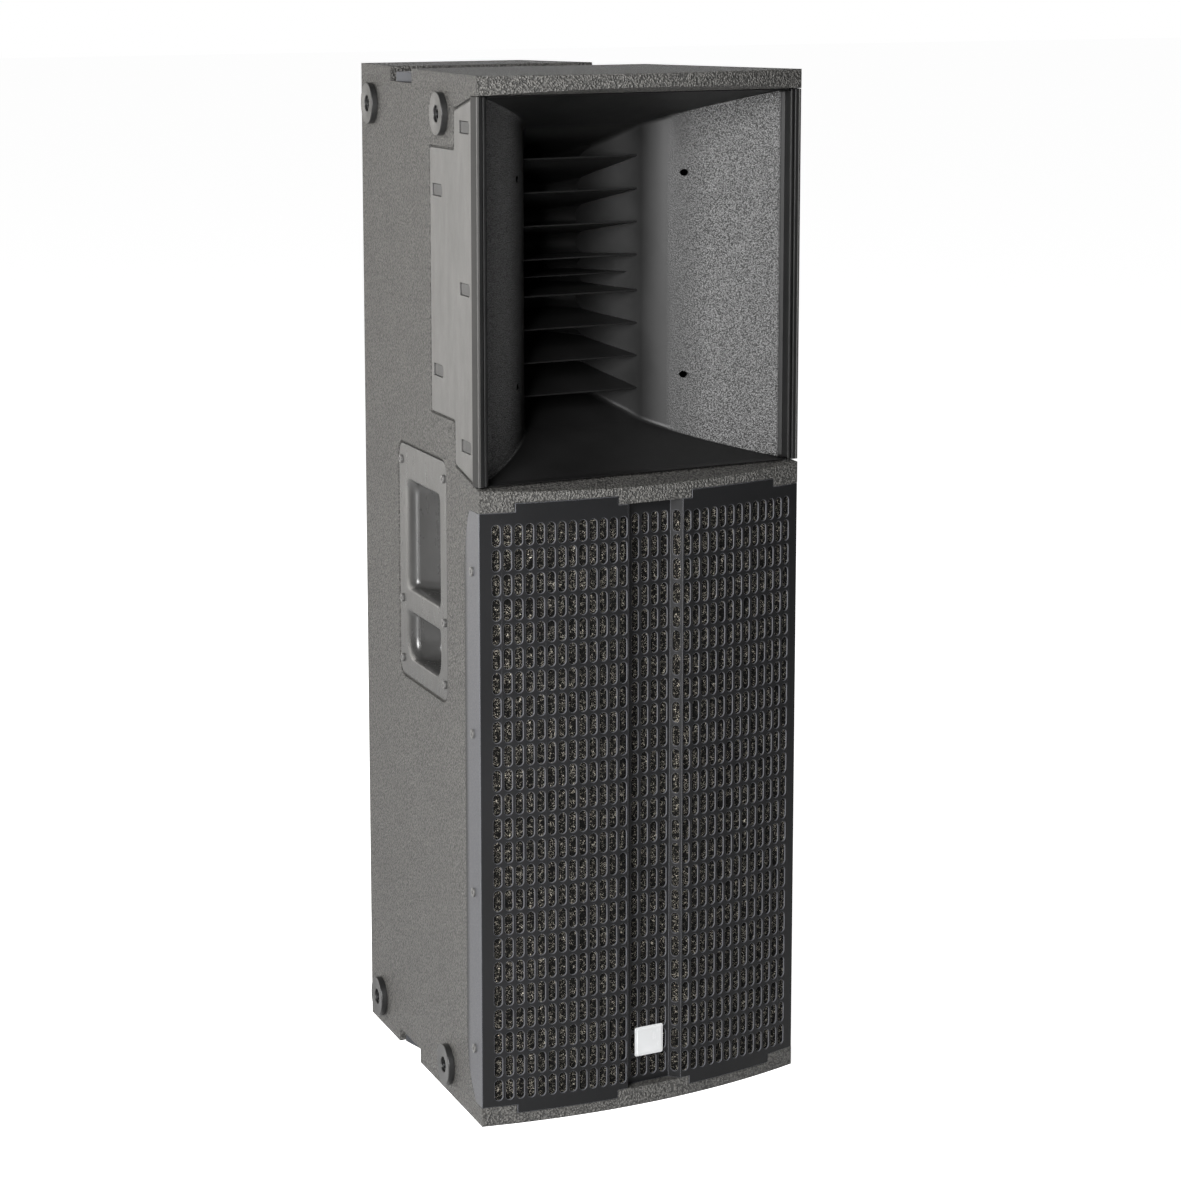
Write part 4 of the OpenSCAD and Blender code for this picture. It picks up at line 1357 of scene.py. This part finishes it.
@dataclass
class Wool:
    """The damping wool that lines the cabinet behind the woofers."""

    layout: Layout
    voxel: float = 9 * MM
    swell: float = 3 * MM

    def build(self) -> None:
        """Makes the batt from a merged copy of its solid, rounded and lumpy."""
        source = self.layout.frame["nodes"]["damping_wool"]
        work = bmesh.new()
        work.from_mesh(source.data)
        bmesh.ops.remove_doubles(work, verts=work.verts, dist=DOUBLES)
        batt = from_work("wool_batt", work)
        finish_modifier(batt, "REMESH", mode="VOXEL", voxel_size=self.voxel)
        finish_modifier(batt, "SMOOTH", factor=0.5, iterations=6)
        lumps = bpy.data.textures.new("wool_lumps", "CLOUDS")
        lumps.noise_scale = 0.05
        finish_modifier(batt, "DISPLACE", texture=lumps, strength=self.swell, mid_level=1.0)
        tidy_mesh(batt, 180)
        hand_over(batt, Look.WOOL, "wool", "damping_wool")
        LOG.info("damping wool")


@dataclass
class Badge:
    """The blank plate in the grille's channel."""

    layout: Layout
    edge: float = 0.5 * MM
    corner: float = 2.2 * MM
    border: float = 2 * MM

    def build(self) -> None:
        """Makes the plate with soft corners and a shallow raised field."""
        low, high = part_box("badge")
        size, mid = high - low, (high + low) / 2
        a, b, thick = size.x / 2, size.z / 2, size.y
        base = flat_plate("badge_base", self.corners(a, b, self.corner), [], thick * 0.75, self.edge)
        inner = self.corners(a - self.border, b - self.border, self.corner * 0.6)
        raised = flat_plate("badge_field", inner, [], thick * 0.6, self.edge * 0.6)
        upright = Matrix.Rotation(-math.pi / 2, 4, "X")
        for part, lift in ((base, thick * 0.25), (raised, 0.0)):
            part.data.transform(Matrix.Translation((mid.x, low.y + lift, mid.z)) @ upright)
        piece = join([base, raised], "badge_blank")
        tidy_mesh(piece, 40)
        hand_over(piece, Look.BADGE, "badge_plate", "badge")
        LOG.info("blank badge")

    @staticmethod
    def corners(a: float, b: float, r: float) -> list[Point]:
        """A rounded rectangle about the origin.

        Args:
            a: Half its width.
            b: Half its height.
            r: Its corner radius.

        Returns:
            Its outline.
        """
        return rounded_outline([(-a, -b, r), (a, -b, r), (a, b, r), (-a, b, r)])


@dataclass
class Feet:
    """The round pads on the sides, one over each threaded point."""

    layout: Layout
    radius: float = 19.5 * MM
    thick: float = 6.3 * MM
    hole_r: float = 7.5 * MM
    round_r: float = 1.6 * MM
    dish: float = 0.5 * MM
    slope_w: float = 1.2 * MM
    hole_depth: float = 3.6 * MM
    insert_r: float = 7 * MM
    backs: tuple[float, float] = (0.281, 0.897)

    def pad(self) -> bpy.types.Object:
        """Returns one pad, lying in XY with its base at z = 0 and its face towards -Z."""
        clear_selection()
        bpy.ops.mesh.primitive_cylinder_add(vertices=72, radius=self.radius, depth=self.thick,
                                            location=(0, 0, -self.thick / 2))
        pad = bpy.context.active_object
        apply_place(pad)
        face = min(pad.data.polygons, key=lambda p: p.center.z).index
        bpy.ops.object.mode_set(mode="EDIT")
        bpy.ops.mesh.select_mode(type="FACE")
        bpy.ops.mesh.select_all(action="DESELECT")
        bpy.ops.object.mode_set(mode="OBJECT")
        pad.data.polygons[face].select = True
        bpy.ops.object.mode_set(mode="EDIT")
        bpy.ops.mesh.inset(thickness=self.radius - self.hole_r - self.slope_w)
        bpy.ops.transform.translate(value=(0, 0, self.dish))
        bpy.ops.mesh.inset(thickness=self.slope_w)
        bpy.ops.mesh.extrude_region_move(TRANSFORM_OT_translate={"value": (0, 0, self.hole_depth)})
        bpy.ops.object.mode_set(mode="OBJECT")
        finish_modifier(pad, "BEVEL", width=self.round_r * 0.5, segments=3, limit_method="ANGLE",
                        angle_limit=math.radians(50))
        return pad

    def build(self) -> None:
        """Copies the pad to its eight places."""
        model = self.pad()
        low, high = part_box("foot_inserts")
        pads = []
        for side in (-1, 1):
            for back in self.backs:
                for z in (low.z + self.insert_r, high.z - self.insert_r):
                    pad = copy_of(model, "side_pad")
                    pad.data.transform(Matrix.Translation((back * self.layout.side_len, z, 0)))
                    self.layout.put_on_side(pad, side)
                    pads.append(pad)
        bpy.data.objects.remove(model)
        piece = join(pads, "side_pads")
        tidy_mesh(piece, 40)
        hand_over(piece, Look.FOOT, "foot_rubber", "side_feet")
        LOG.info("eight side pads")


def dress_frame(frame: dict) -> None:
    """Gives every carried-over CAD node its procedural finish."""
    slots = {s["node"]: s["material_slot"] for s in frame["record"]["subparts"]}
    for name, obj in frame["nodes"].items():
        look = NODE_LOOKS.get(name, SLOT_LOOKS[slots[name]])
        obj.data.materials.clear()
        obj.data.materials.append(look.material)


@dataclass(frozen=True)
class SoftBox:
    """A rectangular lamp that looks at the cabinet's middle."""

    name: str
    place: tuple[float, float, float]
    size: Point
    power: float
    tint: Colour = (1.0, 1.0, 1.0)

    def hang(self) -> None:
        """Puts the lamp in the scene, unseen by the camera."""
        data = bpy.data.lights.new(self.name, "AREA")
        data.shape = "RECTANGLE"
        data.size, data.size_y = self.size
        data.energy = self.power
        data.color = self.tint
        lamp = add_object(self.name, data)
        lamp.location = self.place
        lamp.visible_camera = False
        lamp.rotation_euler = (Vector((0, 0, 0.5)) - Vector(self.place)).to_track_quat("-Z", "Y").to_euler()


@dataclass
class Studio:
    """The camera, the lamps, the floor and the backdrop."""

    lens: float = 105.9
    azimuth: float = -32.14
    elevation: float = 10.45
    distance: float = 3.3386
    aim_side: float = 0.0431
    aim_z: float = 0.4572
    boxes: tuple[SoftBox, ...] = (
        SoftBox("rear_box", (-1.3, 2.9, 1.0), (2.0, 2.6), 52.0, (1.0, 0.975, 0.93)),
        SoftBox("key_box", (-2.35, -1.9, 1.4), (1.2, 1.8), 262.0),
        SoftBox("back_box", (1.7, 2.7, 1.5), (1.2, 0.8), 6.5),
        SoftBox("fill_box", (0.3, -3.2, 2.6), (1.2, 0.8), 1.4),
    )
    room: float = 0.06
    floor_tone: float = 0.86
    floor_glow: float = 0.93

    def camera(self) -> None:
        """Sets the camera at the height and angle of the view."""
        a, e = math.radians(self.azimuth), math.radians(self.elevation)
        back = Vector((math.sin(a) * math.cos(e), -math.cos(a) * math.cos(e), math.sin(e)))
        aim = Vector((self.aim_side * math.cos(a), self.aim_side * math.sin(a), self.aim_z))
        data = bpy.data.cameras.new("camera")
        data.lens = self.lens
        data.sensor_width = 36.0
        camera = add_object("camera", data)
        camera.location = aim + back * self.distance
        camera.rotation_mode = "QUATERNION"
        camera.rotation_quaternion = (-back).to_track_quat("-Z", "Y")
        bpy.context.scene.camera = camera

    def seen_rays(self, tree: bpy.types.NodeTree) -> bpy.types.NodeSocket:
        """Returns 1 for the rays that see the room directly or through glass, and 0 for the rest."""
        path = tree.nodes.new("ShaderNodeLightPath")
        largest = tree.nodes.new("ShaderNodeMath")
        largest.operation = "MAXIMUM"
        tree.links.new(path.outputs["Is Camera Ray"], largest.inputs[0])
        tree.links.new(path.outputs["Is Transmission Ray"], largest.inputs[1])
        return largest.outputs["Value"]

    def surroundings(self) -> None:
        """Makes the white room and a pale floor that keeps the shadow."""
        world = bpy.data.worlds.new("room")
        bpy.context.scene.world = world
        world.use_nodes = True
        tree = world.node_tree
        ground = tree.nodes["Background"]
        ground.inputs["Color"].default_value = (1, 1, 1, 1)
        ground.inputs["Strength"].default_value = self.room
        seen = tree.nodes.new("ShaderNodeBackground")
        seen.inputs["Color"].default_value = (1, 1, 1, 1)
        mix = tree.nodes.new("ShaderNodeMixShader")
        tree.links.new(self.seen_rays(tree), mix.inputs[0])
        tree.links.new(ground.outputs[0], mix.inputs[1])
        tree.links.new(seen.outputs[0], mix.inputs[2])
        tree.links.new(mix.outputs[0], tree.nodes["World Output"].inputs["Surface"])
        clear_selection()
        bpy.ops.mesh.primitive_plane_add(size=60.0, location=(0, 0, -0.0005))
        floor = bpy.context.active_object
        floor.name = "floor"
        paint = bpy.data.materials.new("floor_white")
        paint.use_nodes = True
        shader = paint.node_tree.nodes["Principled BSDF"]
        shader.inputs["Base Color"].default_value = (self.floor_tone,) * 3 + (1.0,)
        shader.inputs["Roughness"].default_value = 0.8
        paint.node_tree.links.new(self.seen_rays(paint.node_tree), shader.inputs["Emission Strength"])
        shader.inputs["Emission Color"].default_value = (self.floor_glow,) * 3 + (1.0,)
        floor.data.materials.append(paint)

    def build(self) -> None:
        """Sets up the whole studio."""
        self.camera()
        for box in self.boxes:
            box.hang()
        self.surroundings()
        bpy.context.scene.view_settings.view_transform = "Standard"


def main() -> None:
    """Builds the cabinet's looks, in order."""
    logging.basicConfig(level=logging.INFO, format="%(name)s: %(message)s")
    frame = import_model()
    layout = Layout(frame)
    dress_frame(frame)
    Cabinet(layout).soften()
    Horn(layout).build()
    Handles(layout).build()
    Foam(layout).build()
    Wool(layout).build()
    Badge(layout).build()
    Feet(layout).build()
    Studio().build()


if __name__ == "__main__":
    main()
